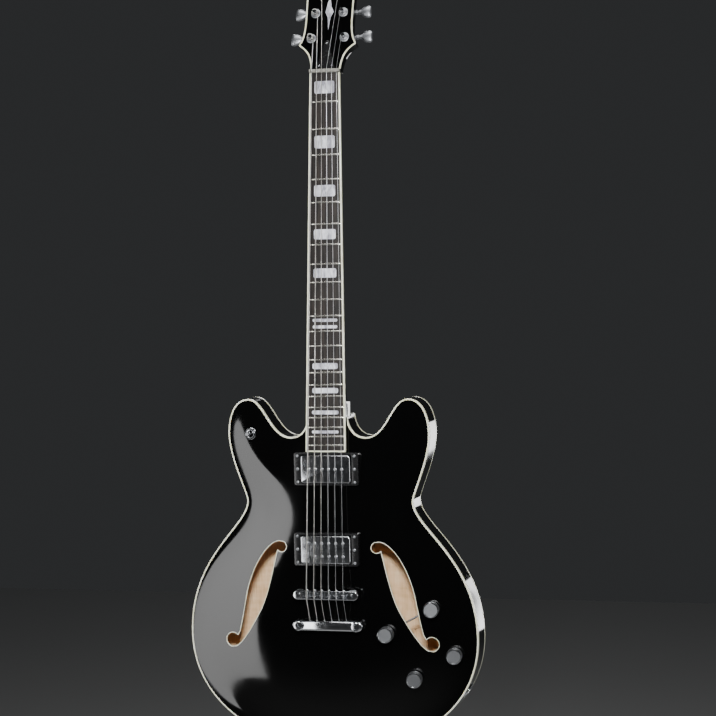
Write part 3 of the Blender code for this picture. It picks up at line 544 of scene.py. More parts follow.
def softbox(name, spot, aim, size, power, spread=180, colour="#ffffff"):
    data = bpy.data.lights.new(name, "AREA")
    data.shape = "RECTANGLE"
    data.size, data.size_y = size
    data.energy = power
    data.spread = math.radians(spread)
    data.color = linear(colour)[:3]
    lamp = bpy.data.objects.new(name, data)
    bpy.context.scene.collection.objects.link(lamp)
    lamp.matrix_world = aimed(Vector(spot), Vector(spot) - Vector(aim))
    return lamp


def buildStage(s):
    floorZ = cadLow.z - s["floorDrop"]
    bpy.ops.mesh.primitive_plane_add(size=16, location=(0, 0, floorZ))
    floor = bake(bpy.context.object)
    floor.name = "floor"
    look, tree, shader, where = newMaterial("paintedPlaster", {"Base Color": linear(s["floorColour"]),
                                                               "Roughness": 0.7})
    floor.data.materials.append(look)
    world = bpy.data.worlds.new("studio")
    bpy.context.scene.world = world
    world.use_nodes = True
    backdrop = world.node_tree.nodes["Background"]
    backdrop.inputs["Color"].default_value = linear(s["worldColour"])
    backdrop.inputs["Strength"].default_value = 1.0


# a spot this far from the guitar; azimuth 0 is straight in front
def around(azimuth, distance, height):
    angle = math.radians(azimuth)
    return (math.sin(angle) * distance, -math.cos(angle) * distance, height)


buildCamera(stageSettings)
buildStage(stageSettings)
middle = (0.0, 0.0, -0.6)
softbox("keySoftbox", around(-33.0, 2.4, -0.5), middle, (0.46, 2.4), 8.0, 120)
softbox("keyEdge", around(-45.0, 2.45, -0.4), middle, (0.52, 2.2), 2.6, 120)
softbox("rearSoftbox", around(163.7, 3.0, -0.85), middle, (0.34, 0.75), 2.2, 120)
softbox("rearFill", around(195, 2.6, 0.9), middle, (1.2, 0.8), 16, 110)
softbox("bassSide", around(-92, 2.4, -0.5), middle, (0.8, 1.7), 10, 140)
softbox("trebleSide", around(88, 2.4, -0.5), middle, (0.8, 1.7), 12, 140)
softbox("frontHigh", around(14, 2.2, 0.35), (0.02, 0.0, -0.5), (0.4, 0.3), 9, 60)
softbox("overhead", (0.1, -0.6, 2.3), middle, (1.8, 1.2), 26, 120)
print("stage set")


# Body

bodyShape = {
    "outline": (
        (28, 472, (0, 1), 0, 10), (53, 502, (1, 0), 19, 31), (114, 449, (1, 0), 24, 29),
        (144, 497, (0, 1), 5, 36), (119, 590, (0, 1), 11, 36), (206, 776, (0, 1), 109, 99),
        (0, guitar["tailStation"], (-1, 0), 114, 0)),
    "steps": (6, 16, 16, 14, 28, 34),
    "rings": (1.0, 0.985, 0.97, 0.95, 0.925, 0.9, 0.87, 0.84, 0.8, 0.76, 0.72, 0.67, 0.62, 0.57, 0.52,
              0.46, 0.4, 0.34, 0.28, 0.22, 0.16, 0.1, 0.05, 0.0),
    "rimWall": 3.0, "edgeRounding": 0.5, "holeBinding": 0.9, "holeBindingDepth": 1.3,
    "mortise": ((-28.2, 440, -40), (28.2, 520, 20.5)),
}
bodyOutline = mirrored(bezierPoints(bodyShape["outline"], bodyShape["steps"]))


def reachFromEdge(x, station):                 # a smoothed distance to the outline, from arrays of places
    first = np.array([p[:] for p in bodyOutline])
    run = np.roll(first, -1, axis=0) - first
    length = np.hypot(run[:, 0], run[:, 1])
    toX = first[None, :, 0] - np.asarray(x, float)[:, None]
    toS = first[None, :, 1] - np.asarray(station, float)[:, None]
    near = (toX * run[:, 0] + toS * run[:, 1]) / length
    far = near + length
    offLine = np.maximum(0.01, ((toX * run[:, 1] - toS * run[:, 0]) / length) ** 2)
    total = (far / np.sqrt(offLine + far * far) - near / np.sqrt(offLine + near * near)) / offLine
    return np.sqrt(2 / total.sum(axis=1))


crownReach = reachFromEdge([0.0], [guitar["crownStation"]])[0]


def archHeights(x, station):
    share = np.minimum(1.0, reachFromEdge(x, station) / crownReach)
    return guitar["archRise"] * np.sin(np.pi / 2 * share**0.9) ** 2


def topDepth(x, station):
    return -float(archHeights([x], [station])[0])


def topNormal(x, station):
    reach = 4.0
    slopeX = (topDepth(x + reach, station) - topDepth(x - reach, station)) / (2 * reach)
    slopeS = (topDepth(x, station + reach) - topDepth(x, station - reach)) / (2 * reach)
    return Vector((slopeX, -1, -slopeS)).normalized()


def onTop(x, station, gap=0.0):                # a frame that stands on the top, with its Z outward
    outward = topNormal(x, station)
    return bodyFrame @ aimed(place(x, station, topDepth(x, station)) + outward * gap * mm, outward)


def holeOutline(side):                         # the f-hole: two round eyes joined by a long leaf
    points = arcPoints((68.0, 652.5), 8.0, 45, 280, 14)
    points += bezierPoints(((70, 644, (1, 0), 0, 20), (121.5, 722, (0.19, 0.98), 40, 25),
                            (133.5, 776, (0.3, 0.95), 12, 0)), (14, 8))[:-1]
    points += arcPoints((142.5, 784.0), 10.5, 225, 440, 16)
    points += bezierPoints(((141, 794.5, (-1, -0.1), 0, 12), (100, 743, (-0.5, -0.87), 22, 25),
                            (74.5, 661, (-0.25, -0.97), 22, 0)), (10, 12))[1:-1]
    if side > 0:
        return points
    return [Vector((-p.x, p.y)) for p in reversed(points)]


# rings of the outline drawn in to the pole and lifted to the arch
def archedPlate(sign, edgeDepth):
    edge = np.array([p[:] for p in inset(bodyOutline, guitar["binding"])])
    pole = np.array((0.0, guitar["archPole"]))
    rings = []
    for share in bodyShape["rings"]:
        ring = pole + (edge - pole) * share
        depths = edgeDepth + sign * archHeights(ring[:, 0], ring[:, 1])
        rings.append([place(x, s, d) for (x, s), d in zip(ring, depths)])
    return wrapped(rings, closedEnds=False)


def wallOf(outline, near, far, thickness, looks=()):      # a band along an outline, thickened inwards
    depths = near if callable(near) else lambda x, s: near
    ends = far if callable(far) else lambda x, s: far
    rings = []
    for step in range(5):
        share = step / 4
        rings.append([place(p.x, p.y, depths(p.x, p.y) * (1 - share) + ends(p.x,
                                                                            p.y) * share) for p in outline])
    band = wrapped(rings, closedEnds=False)
    for look in looks:
        band.data.materials.append(look)
    wall = band.modifiers.new("wall", "SOLIDIFY")
    wall.material_offset = 1 if looks else 0
    wall.thickness = thickness * mm
    wall.offset = -1
    wall.use_even_offset = True
    return applyModifiers(band)


def thickened(plate):                          # the plate's inside, with bare maple on it
    pick(plate)
    shell = plate.modifiers.new("shell", "SOLIDIFY")
    shell.thickness = guitar["plate"] * mm
    shell.offset = -1
    shell.material_offset = 1
    shell.material_offset_rim = 0
    return applyModifiers(plate)


def buildBody():
    mortise = block(*bodyShape["mortise"])
    for sign, edgeDepth, name, node in ((-1, 0.0, "bodyTop", "body_top"),
                                        (1, guitar["rimDepth"], "bodyBack", "body_back")):
        plate = archedPlate(sign, edgeDepth)
        plate.data.materials.append(lacquer)
        plate.data.materials.append(maple)
        plate.data.materials.append(holeEdgeShade)
        faceOutward(plate, sign)
        thickened(plate)
        if sign < 0:
            for side in (-1, 1):
                cutter = drawn(holeOutline(side), -25, 14)
                for look in (lacquer, maple, holeEdgeShade):
                    cutter.data.materials.append(look)
                # the f-hole's walls take the dark edge material, which is painted shade
                for face in cutter.data.polygons:
                    face.material_index = 2
                carve(plate, cutter)
            carve(plate, mortise, keep=True)
        finished(bake(plate, bodyFrame), name, None, stands=[node], angle=40)
    rim = wallOf(bodyOutline, guitar["plate"], guitar["rimDepth"] - guitar["plate"], bodyShape["rimWall"],
                 (lacquer, maple))
    carve(rim, mortise, keep=True)
    finished(bake(rim, bodyFrame), "bodyRim", None, stands=["body_rim"], angle=40)
    for name, node, near, far in (("topBinding", "top_binding", 0.0, guitar["plate"]),
                                  ("backBinding", "back_binding", guitar["rimDepth"] - guitar["plate"],
                                   guitar["rimDepth"])):
        band = wallOf(bodyOutline, near, far, guitar["binding"])
        soften(band, bodyShape["edgeRounding"], 3, 50)
        if node == "top_binding":
            carve(band, mortise, keep=True)
        finished(bake(band, bodyFrame), name, ivory, stands=[node], angle=40)
    bpy.data.objects.remove(mortise)
    for side, hand in ((-1, "Bass"), (1, "Treble")):
        outline = holeOutline(side)
        def front(x, s):
            return topDepth(x, s) - 0.05
        def rear(x, s):
            return topDepth(x, s) + bodyShape["holeBindingDepth"]
        band = wallOf(outline, front, rear, bodyShape["holeBinding"])
        finished(bake(band, bodyFrame), f"soundHoleBinding{hand}", ivory, angle=40)
    print("body built")


def faceOutward(plate, sign):                  # an open sheet: its faces look out of the body
    wrong = [p.index for p in plate.data.polygons if p.normal.y * sign < 0]
    if len(wrong) > len(plate.data.polygons) / 2:
        pick(plate)
        bpy.ops.object.mode_set(mode="EDIT")
        bpy.ops.mesh.select_all(action="SELECT")
        bpy.ops.mesh.flip_normals()
        bpy.ops.object.mode_set(mode="OBJECT")


buildBody()

# Neck and headstock

neckShape = {
    # station, half width, depth of the back
    "shaft": ((-4, 21.3, 18.5), (0, 21.3, 20.5), (60, 22.1, 20.9), (180, 23.7, 21.8), (270, 24.9, 22.6),
              (360, 26.1, 23.4)),
    "heel": ((430, 27.0, 25.0), (438, 27.2, 27.6), (446, 27.3, 31.5), (452, 27.4, 38.0), (457, 27.5, 45.5),
             (462, 27.5, 50.5), (466, 27.6, 51.8), (471.6, 27.6, 52.2)),
    "sectionPoints": 25,
    "head": ((21.5, -4, (0, -1), 0, 8), (25.5, -26, (0.35, -0.9), 7, 6), (40.5, -42.5, (0.8, -0.45), 8,
                                                                          1.5),
             (39.5, -47.5, (-0.5, -0.8), 1.5, 6), (34, -82, (0, -1), 18, 20), (34.5, -140, (0, -1), 25, 20),
             (0, -182, (-1, 0), 26, 0)),
    "headSteps": (8, 8, 3, 12, 10, 14),
    "headRounding": 1.0, "headBinding": 2.2, "tenon": ((-27.3, 452, 6.4), (27.3, 517, 28.0)),
    "lozenge": {"rise": 92.0, "halfWidth": 6.0, "halfHeight": 27.0},
}


def neckRing(station, half, back, count):      # a D: flat under the board and round behind
    front = guitar["boardThickness"] + 0.1
    ring = []
    for index in range(count):
        angle = math.pi * index / (count - 1)
        x = half * math.copysign(abs(math.cos(angle)) ** 0.75, math.cos(angle))
        ring.append((x, station, front + (back - front) * math.sin(angle) ** 0.85))
    return ring


def heelRing(bodyStation, half, back, count):  # square to the body and not to the neck
    rise = guitar["boardLength"] * (1 - math.cos(guitar["neckAngle"]))
    ring = []
    for x, _, depth in neckRing(0, half, back, count):
        station = (bodyStation - rise - depth * math.sin(guitar["neckAngle"])) / math.cos(guitar["neckAngle"])
        ring.append((x, station, depth))
    return ring


def buildNeck(s):
    count = s["sectionPoints"]
    rings = [neckRing(station, half, back, count) for station, half, back in s["shaft"]]
    rings += [heelRing(station, half, back, count) for station, half, back in s["heel"]]
    shaft = wrapped([[place(*spot) for spot in ring] for ring in rings])
    tenon = block(*s["tenon"])
    carve(shaft, tenon, operation="UNION")
    bake(shaft, neckFrame)
    outline = mirrored(bezierPoints(s["head"], s["headSteps"]))
    near, far = guitar["headFace"], guitar["headFace"] + guitar["headThickness"]
    head = drawn(outline, near, far, headFrame, s["headRounding"])
    carve(shaft, head, operation="UNION")
    finished(shaft, "neckAndHeadstock", lacquer, stands=["neck"], angle=32)

    # the binding is let in round the face, and its inner edge follows the outline
    edge, inner = inset(outline, -0.05), inset(outline, -s["headBinding"])
    strip = [p for p in edge if p.y < -5] + [q for p, q in reversed(list(zip(edge, inner))) if p.y < -5]
    binding = drawn(strip, near - 0.06, near + 2.6, headFrame, 0.25)
    finished(binding, "headstockBinding", ivory, angle=50)

    lozenge = s["lozenge"]
    rise, wide, high = lozenge["rise"], lozenge["halfWidth"], lozenge["halfHeight"]
    points = [Vector(p) for p in ((0, -rise - high), (wide * 0.35, -rise - high * 0.3), (wide, -rise),
                                  (wide * 0.35, -rise + high * 0.3), (0, -rise + high))]
    diamond = drawn(mirrored(points)[:-1] if abs(points[-1].x) < 0.01 else mirrored(points),
                    near - 0.07, near + 0.6, headFrame)
    finished(diamond, "headstockInlay", pearloid, angle=30)
    print("neck built")


buildNeck(neckShape)


# Fingerboard, frets, inlays and nut

boardShape = {
    "binding": 2.0, "columns": 24, "rows": 24, "fretWidth": 2.3, "fretHeight": 1.15,
    # fret number: width and heights of its inlay, from one block to two bars
    "inlays": {1: (28.5, (17.0,)), 3: (29.0, (17.2,)), 5: (30.0, (15.6,)), 7: (31.0, (13.8,)), 9: (32.5,
                                                                                                   (12.6,)),
               12: (35.0, (4.2, 4.2)), 15: (36.0, (8.2,)), 17: (37.0, (7.0,)), 19: (38.0, (5.2,)),
               21: (38.0, (3.8,))},
    "doubleBarPitch": 9.0, "inlayLift": 0.05, "sideDot": 1.1,
}


def boardHalf(station):
    share = station / guitar["boardLength"]
    return guitar["boardHalfAtNut"] + (guitar["boardHalfAtEnd"] - guitar["boardHalfAtNut"]) * share


def crown(x):                                  # how far the board falls away from its centre line
    return guitar["boardRadius"] - math.sqrt(guitar["boardRadius"]**2 - x * x)


def fretStation(number):
    return guitar["scaleLength"] * (1 - 2 ** (-number / 12))


# bends a flat piece in the neck's frame to the board's radius
def crowned(obj, lift=0.0):
    for vert in obj.data.vertices:
        vert.co.y += (crown(vert.co.x / mm) - lift) * mm
    return obj


def boardStrip(left, right, first, last, columns, rows):
    # a crowned slab between two widths that may change along the board
    rings = []
    for row in range(rows + 1):
        station = first + (last - first) * row / rows
        a, b = left(station), right(station)
        across = [a + (b - a) * column / columns for column in range(columns + 1)]
        ring = [place(x, station, crown(x)) for x in across]
        ring += [place(x, station, guitar["boardThickness"]) for x in reversed(across)]
        rings.append(ring)
    return wrapped(rings)


def buildFingerboard(s):
    wide, length = s["binding"], guitar["boardLength"] - 1.0
    board = boardStrip(lambda t: -boardHalf(t) + wide, lambda t: boardHalf(t) - wide, 0, length - wide,
                       s["columns"], s["rows"])
    finished(bake(board, neckFrame), "fingerboardWood", rosewood,
             stands=["fingerboard"], angle=30)
    strips = [
        boardStrip(lambda t: -boardHalf(t), lambda t: -boardHalf(t) + wide, 0, length, 2, s["rows"]),
        boardStrip(lambda t: boardHalf(t) - wide, lambda t: boardHalf(t), 0, length, 2, s["rows"]),
        boardStrip(lambda t: -boardHalf(t) + wide, lambda t: boardHalf(t) - wide, length - wide, length,
                   s["columns"], 1),
    ]
    for strip in strips:
        soften(strip, 0.3, 2, 50)
    finished(bake(together(strips), neckFrame), "fingerboardBinding", ivory, angle=40)

    frets = []
    for number in range(1, guitar["frets"] + 1):
        station, half = fretStation(number), boardHalf(fretStation(number)) - wide + 0.2
        a, b = (-half, station - s["fretWidth"] / 2, -s["fretHeight"]), (half, station + s["fretWidth"] / 2,
                                                                         0.6)
        bar = block(a, b)
        bpy.ops.object.mode_set(mode="EDIT")
        bpy.ops.mesh.select_all(action="SELECT")
        bpy.ops.mesh.bisect(plane_co=(0, 0, 0), plane_no=(1, 0, 0))
        bpy.ops.mesh.select_all(action="SELECT")
        bpy.ops.mesh.bisect(plane_co=(-half * mm / 2, 0, 0), plane_no=(1, 0, 0))
        bpy.ops.mesh.select_all(action="SELECT")
        bpy.ops.mesh.bisect(plane_co=(half * mm / 2, 0, 0), plane_no=(1, 0, 0))
        bpy.ops.object.mode_set(mode="OBJECT")
        soften(bar, 0.85, 3, 50)
        frets.append(crowned(bar))
    finished(bake(together(frets), neckFrame), "fretWires", fretMetal, angle=50)

    for number, (width, heights) in s["inlays"].items():
        centre = (fretStation(number - 1) + fretStation(number)) / 2
        pieces = []
        for index, height in enumerate(heights):
            station = centre + (index - (len(heights) - 1) / 2) * s["doubleBarPitch"]
            rounding = min(2.4, height * 0.42)
            corners = []
            for sideX, sideS, start in ((1, -1, -90), (1, 1, 0), (-1, 1, 90), (-1, -1, 180)):
                spot = (sideX * (width / 2 - rounding), station + sideS * (height / 2 - rounding))
                corners += arcPoints(spot, rounding, start, start + 90, 5)
            plate = drawn(corners, 0.0, 0.5)
            pick(plate)
            bpy.ops.object.mode_set(mode="EDIT")
            for column in range(-7, 8):
                bpy.ops.mesh.select_all(action="SELECT")
                bpy.ops.mesh.bisect(plane_co=(column * width * mm / 16, 0, 0), plane_no=(1, 0, 0))
            bpy.ops.object.mode_set(mode="OBJECT")
            pieces.append(crowned(plate, s["inlayLift"]))
        finished(bake(together(pieces), neckFrame), f"inlayAtFret{number}", pearloid, angle=30)

    dots = []
    for number in (3, 5, 7, 9, 12, 12, 15, 17, 19, 21):
        station = (fretStation(number - 1) + fretStation(number)) / 2
        if number == 12:
            station += 3.5 if len(dots) % 2 else -3.5
        spot = place(-boardHalf(station) - 0.03, station, 2.9)
        dots.append(turned(((s["sideDot"], -0.4), (s["sideDot"], 0.0)), aimed(spot, (-1, 0, 0)), 16))
    finished(bake(together(dots), neckFrame), "sideDots", blackPlastic, angle=30)
    print("fingerboard built")


buildFingerboard(boardShape)


# Screws, modelled once and copied

def screwMaster(radius, dome, slotWidth, cross=False, rim=0.25):
    head = turned(((radius, -1.5), (radius, rim), (radius * 0.86, rim + dome * 0.55), (radius * 0.55,
                                                                                       rim + dome * 0.9),
                   (radius * 0.2, rim + dome)), None, 24)
    cutters = [(radius * 2.4, slotWidth)] + ([(slotWidth, radius * 1.5)] if cross else [])
    if cross:
        cutters[0] = (radius * 1.5, slotWidth)
    for wide, tall in cutters:
        bpy.ops.mesh.primitive_cube_add(size=1, location=(0, 0, (rim + dome) * mm), scale=(wide * mm,
            tall * mm, dome * 1.3 * mm))
        cutter = bake(bpy.context.object)
        carve(head, cutter)
    return head


slottedScrew = screwMaster(2.3, 0.8, 0.55)
crossScrew = screwMaster(2.1, 0.9, 0.6, cross=True)
smallCrossScrew = screwMaster(1.5, 0.6, 0.45, cross=True)


def screwsAt(name, master, spots, look, frameMatrix, outward=(0, -1, 0), body="guitar"):
    copies = []
    for index, spot in enumerate(spots):       # each slot stands at an angle of its own
        turn = Matrix.Rotation(math.radians(25 + 67 * index), 4, "Z")
        copies.append(copied(master, frameMatrix @ aimed(place(*spot), outward) @ turn))
    return finished(together(copies), name, look, body=body, angle=40)


# Truss-rod cover

coverShape = {
    "outline": ((13, -7.5, (0, -1), 0, 4), (7, -30, (-0.2, -1), 9, 5), (0, -49, (-1, 0), 5, 0)),
    "near": 2.2, "far": 4.2, "rounding": 0.5, "screws": ((0, -44.5), (-9.0, -11.5), (9.0, -11.5)),
}


def buildCover(s):
    cover = drawn(mirrored(bezierPoints(s["outline"], (10, 10))), s["near"], s["far"], headFrame,
                  s["rounding"])
    finished(cover, "trussRodCover", blackPlastic, stands=["truss_rod_cover"],
             angle=35)
    screwsAt("trussRodCoverScrews", smallCrossScrew, [(x, station, s["near"]) for x,
                                                      station in s["screws"]],
             chrome, headFrame)
    print("truss-rod cover built")


buildCover(coverShape)


# Tuners

tunerShape = {
    "wormOffset": 7.4, "wormDepth": 5.0, "postTop": 9.5, "postRadius": 3.0, "wheelRadius": 4.8,
    "washer": 6.75, "nutFlats": 5.2,
    # distance from the post's axis, half height, half thickness
    "button": ((19.4, 3.0, 2.6), (20.6, 4.4, 2.9), (22.4, 6.2, 3.2), (24.8, 7.7, 3.5), (27.4, 8.5, 3.8),
               (30.2, 8.95, 3.8), (32.4, 8.9, 3.5), (33.9, 8.3, 2.9), (34.7, 6.9, 1.9)),
    "shaft": ((-5.8, 2.1), (5.8, 2.1), (5.9, 1.8), (12.0, 1.8), (12.1, 3.1), (13.6, 3.3), (15.2, 3.1),
              (15.3, 2.5),
              (17.2, 2.5), (17.3, 3.0), (19.4, 3.0)),
}


def makePost(s):
    thick = guitar["headThickness"]
    post = turned(((2.2, s["postTop"]), (2.8, s["postTop"] - 0.5), (2.8, 7.4), (2.45, 6.6), (2.45, 3.6),
                   (2.95, 2.6),
                   (s["postRadius"], -thick - 3.0), (s["wheelRadius"], -thick - 3.0), (s["wheelRadius"],
                                                                                       -thick - 7.2),
                   (1.0, -thick - 7.2)), None, 32)
    hole = turned(((0.9, -4), (0.9, 4)), Matrix.Translation((0, 0, 5.2 * mm)) @ Matrix.Rotation(math.pi / 2,
                                                                                                4, "Y"), 12)
    return carve(post, hole)


def makeBushing(s):
    ring = turned(((3.15, 0.0), (s["washer"], 0.0), (s["washer"], 0.55), (s["washer"] - 0.5, 0.9),
                   (s["nutFlats"] + 0.3, 0.95),
                   (s["nutFlats"] + 0.3, 1.1), (3.15, 1.1), (3.15, 0.0)), None, 40, hollow=True)
    hexagon = turned(((3.15, 1.0), (s["nutFlats"], 1.0), (s["nutFlats"], 2.2), (s["nutFlats"] - 0.5, 2.5),
                      (3.15, 2.5),
                      (3.15, 1.0)), None, 6, hollow=True)
    return together([ring, soften(hexagon, 0.15, 1)])


def makeHousing():
    back = guitar["headFace"] + guitar["headThickness"] + 0.1
    case = block((-8.0, -12.5, back), (8.0, 8.0, back + 10.3), None, 2.2, 5)
    cap = turned(((3.4, 0), (3.4, 0.5), (3.0, 0.7)), aimed(place(0, 1.5, back + 10.2), (0, 1, 0)), 24)
    return together([case, cap]), back


def makeButton(s):                             # shaft, collar and tulip, along X from the post's axis
    rings = [[Vector((d, 0, 0)) * mm + Vector((0, r * math.cos(a), r * math.sin(a))) * mm
              for a in [2 * math.pi * k / 32 for k in range(32)]] for d, r in s["shaft"]]
    for d, high, deep in s["button"][1:]:
        rings.append([Vector((d, deep * math.cos(a), high * math.sin(a))) * mm
                      for a in [2 * math.pi * k / 32 for k in range(32)]])
    return wrapped(rings)


def buildTuners(s):
    post, bushing, button = makePost(s), makeBushing(s), makeButton(s)
    housing, back = makeHousing()
    for side, hand in ((-1, "bass"), (1, "treble")):
        flip = Matrix.Rotation(math.pi, 4, "Y") if side < 0 else Matrix.Identity(4)
        for row, (postX, rise) in enumerate(guitar["tunerRows"], 1):
            label = f"{hand}_{row}"
            name = f"{hand.capitalize()}{row}"
            x = side * postX
            onFace = headFrame @ aimed(place(x, -rise, guitar["headFace"]), forward)
            turn = Matrix.Rotation(math.radians(20 + 50 * row), 4, "Z")
            finished(copied(post, onFace @ turn), f"tunerPost{name}", chrome, body=f"tuner_post_{label}",
                     stands=[f"tuner_post_{label}"], angle=35)
            finished(copied(bushing, onFace), f"tunerBushing{name}", satinChrome, angle=35)
            case = copied(housing, headFrame @ Matrix.Translation(place(x, -rise, 0)))
            finished(case, f"tunerHousing{name}", chrome, stands=[f"tuner_housing_{label}"],
                     angle=35)
            worm = place(x, -rise - s["wormOffset"], back + s["wormDepth"] + 0.2)
            finished(copied(button, headFrame @ Matrix.Translation(worm) @ flip), f"tunerButton{name}",
                     satinChrome,
                     body=f"tuner_button_{label}", stands=[f"tuner_button_{label}"],
                     angle=35)
    for master in (post, bushing, button, housing):
        bpy.data.objects.remove(master)
    spots = []
    for side in (-1, 1):
        for postX, rise in guitar["tunerRows"]:
            spots.append((side * (postX - 5.2), -rise - 9.5, back + 10.25))
    screwsAt("tunerHousingScrews", smallCrossScrew, spots, chrome, headFrame, outward=(0, 1, 0))
    print("tuners built")


buildTuners(tunerShape)

# Strings, in one length from the tailpiece to their posts

stringShape = {
    "anchor": (758.2, -20.0), "atBar": (751.0, -20.0), "saddle": (718.7, -33.2), "nutEdge": -0.4,
    "nutBack": -5.0,
    "postClearance": 0.12, "coilLow": 3.7, "coilPitch": 1.15, "coilTurns": 2.4, "stepsPerTurn": 20,
}


def wire(points, radius, sides=12):
    curve = bpy.data.curves.new("wire", "CURVE")
    curve.dimensions = "3D"
    curve.bevel_depth = radius * mm
    curve.bevel_resolution = sides // 4
    curve.use_fill_caps = True
    spline = curve.splines.new("POLY")
    spline.points.add(len(points) - 1)
    for point, spot in zip(spline.points, points):
        point.co = (*spot, 1)
    obj = bpy.data.objects.new("wire", curve)
    bpy.context.scene.collection.objects.link(obj)
    pick(obj)
    bpy.ops.object.convert(target="MESH")
    return bpy.context.object


def buildStrings(s):
    rows = guitar["tunerRows"]
    posts = [(-1, rows[0]), (-1, rows[1]), (-1, rows[2]), (1, rows[2]), (1, rows[1]), (1, rows[0])]
    for index, radius in enumerate(guitar["stringRadii"]):
        side, (postX, rise) = posts[index]
        atBridge = (index - 2.5) * guitar["bridgePitch"]
        atNut = (index - 2.5) * guitar["nutPitch"]
        route = [bodyFrame @ place(atBridge, *s["anchor"]), bodyFrame @ place(atBridge, *s["atBar"]),
                 bodyFrame @ place(atBridge, s["saddle"][0], s["saddle"][1] - radius),
                 neckFrame @ place(atNut, s["nutEdge"], guitar["stringAtNut"]),
                 neckFrame @ place(atNut, s["nutBack"], guitar["stringAtNut"])]
        coil = 2.95 + radius + s["postClearance"]
        count = int(s["coilTurns"] * s["stepsPerTurn"])
        for step in range(count + 1):          # it meets the post on the inner side and climbs round it
            angle = -side * math.tau * step / s["stepsPerTurn"]
            x = side * postX - side * coil * math.cos(angle)
            station = -rise + side * coil * math.sin(angle)
            lift = s["coilLow"] + 2 * radius * step / s["stepsPerTurn"] * s["coilPitch"]
            route.append(headFrame @ place(x, station, guitar["headFace"] - min(lift, 8.6)))
        string = wire(route, radius)
        wound = index < 3
        finished(string, f"stringNumber{6 - index}", woundWire if wound else plainWire,
                 stands=[f"string_{index + 1}"], angle=60)
    print("strings built")


buildStrings(stringShape)


# Pickups

pickupShape = {
    "neck": {"station": 544.6, "top": -16.4, "foot": -4.0, "rows": (0.0,)},
    "bridge": {"station": 654.3, "top": -25.2, "foot": -9.0, "rows": (-9.0, 9.0)},
    "ring": (45.5, 22.5, 3.0), "window": (36.2, 19.9, 1.6), "lip": 4.0, "cover": (35.0, 19.0, 3.2),
    "coverDepth": 19.0, "polePitch": {"neck": 9.4, "bridge": 10.1}, "poleLift": 0.45,
}


def rounded(centre, half, radius, steps=5):    # a rectangle of (x, station) with round corners
    points = []
    for sideX, sideS, start in ((1, -1, -90), (1, 1, 0), (-1, 1, 90), (-1, -1, 180)):
        spot = (centre[0] + sideX * (half[0] - radius), centre[1] + sideS * (half[1] - radius))
        points += arcPoints(spot, radius, start, start + 90, steps)
    return points


def buildPickups(s):
    pole = screwMaster(2.25, 0.35, 0.7)
    for which in ("neck", "bridge"):
        kind = s[which]
        station, top = kind["station"], kind["top"]
        outer = rounded((0, station), s["ring"][:2], s["ring"][2], 8)
        window = rounded((0, station), s["window"][:2], s["window"][2])
        ring = drawn(outer, top + s["lip"], kind["foot"], None, 1.0, [window])
        finished(bake(ring, bodyFrame), f"pickupRing{which.capitalize()}", blackPlastic,
                 stands=[f"pickup_ring_{which}"], angle=35)
        cover = drawn(rounded((0, station), s["cover"][:2], s["cover"][2], 8), top, top + s["coverDepth"])
        soften(cover, 1.5, 4, 50)
        finished(bake(cover, bodyFrame), f"pickupCover{which.capitalize()}", chrome, body=f"pickup_{which}",
                 stands=[f"pickup_{which}"], angle=35)
        poles = []
        for row in kind["rows"]:
            for index in range(6):
                spot = place((index - 2.5) * s["polePitch"][which], station + row,
                             top - s["poleLift"] + 0.5)
                poles.append(copied(pole, bodyFrame @ aimed(spot, forward)))
        finished(together(poles), f"pickupPoles{which.capitalize()}", satinChrome, body=f"pickup_{which}",
                 angle=40)
        corners = [(x, station + step, top + s["lip"]) for x in (-40.6, 40.6) for step in (-18.0, 18.0)]
        screwsAt(f"ringScrews{which.capitalize()}", crossScrew, corners, satinChrome, bodyFrame)
        heights = [(x, station, top + s["lip"]) for x in (-40.6, 40.6)]
        screwsAt(f"heightScrews{which.capitalize()}", slottedScrew, heights, satinChrome, bodyFrame)
    bpy.data.objects.remove(pole)
    print("pickups built")


buildPickups(pickupShape)


# Bridge and saddles

bridgeShape = {
    "station": 716.0, "half": (46.0, 6.2), "near": -31.0, "far": -23.4, "trough": (32.5, 4.7, -25.4),
    "pinX": 37.0, "pinHole": 3.2, "screw": 1.0, "screwDepth": -28.0,
    "saddleHalf": 3.9, "saddleFoot": -25.8, "saddlePeak": -33.75, "saddleSpread": (2.0, 0.45),
    "offsets": (1.5, 0.7, 0.0, 0.9, 0.1, -0.9),
}


def knurled(obj, least, most, depth):          # every other edge of the wheel is pressed in
    for vert in obj.data.vertices:
        reach = math.hypot(vert.co.x, vert.co.y) / mm
        notch = round(math.degrees(math.atan2(vert.co.y, vert.co.x)) / 6)
        if least < reach < most and notch % 2:
            vert.co.x *= 1 - depth / reach
            vert.co.y *= 1 - depth / reach
    return obj


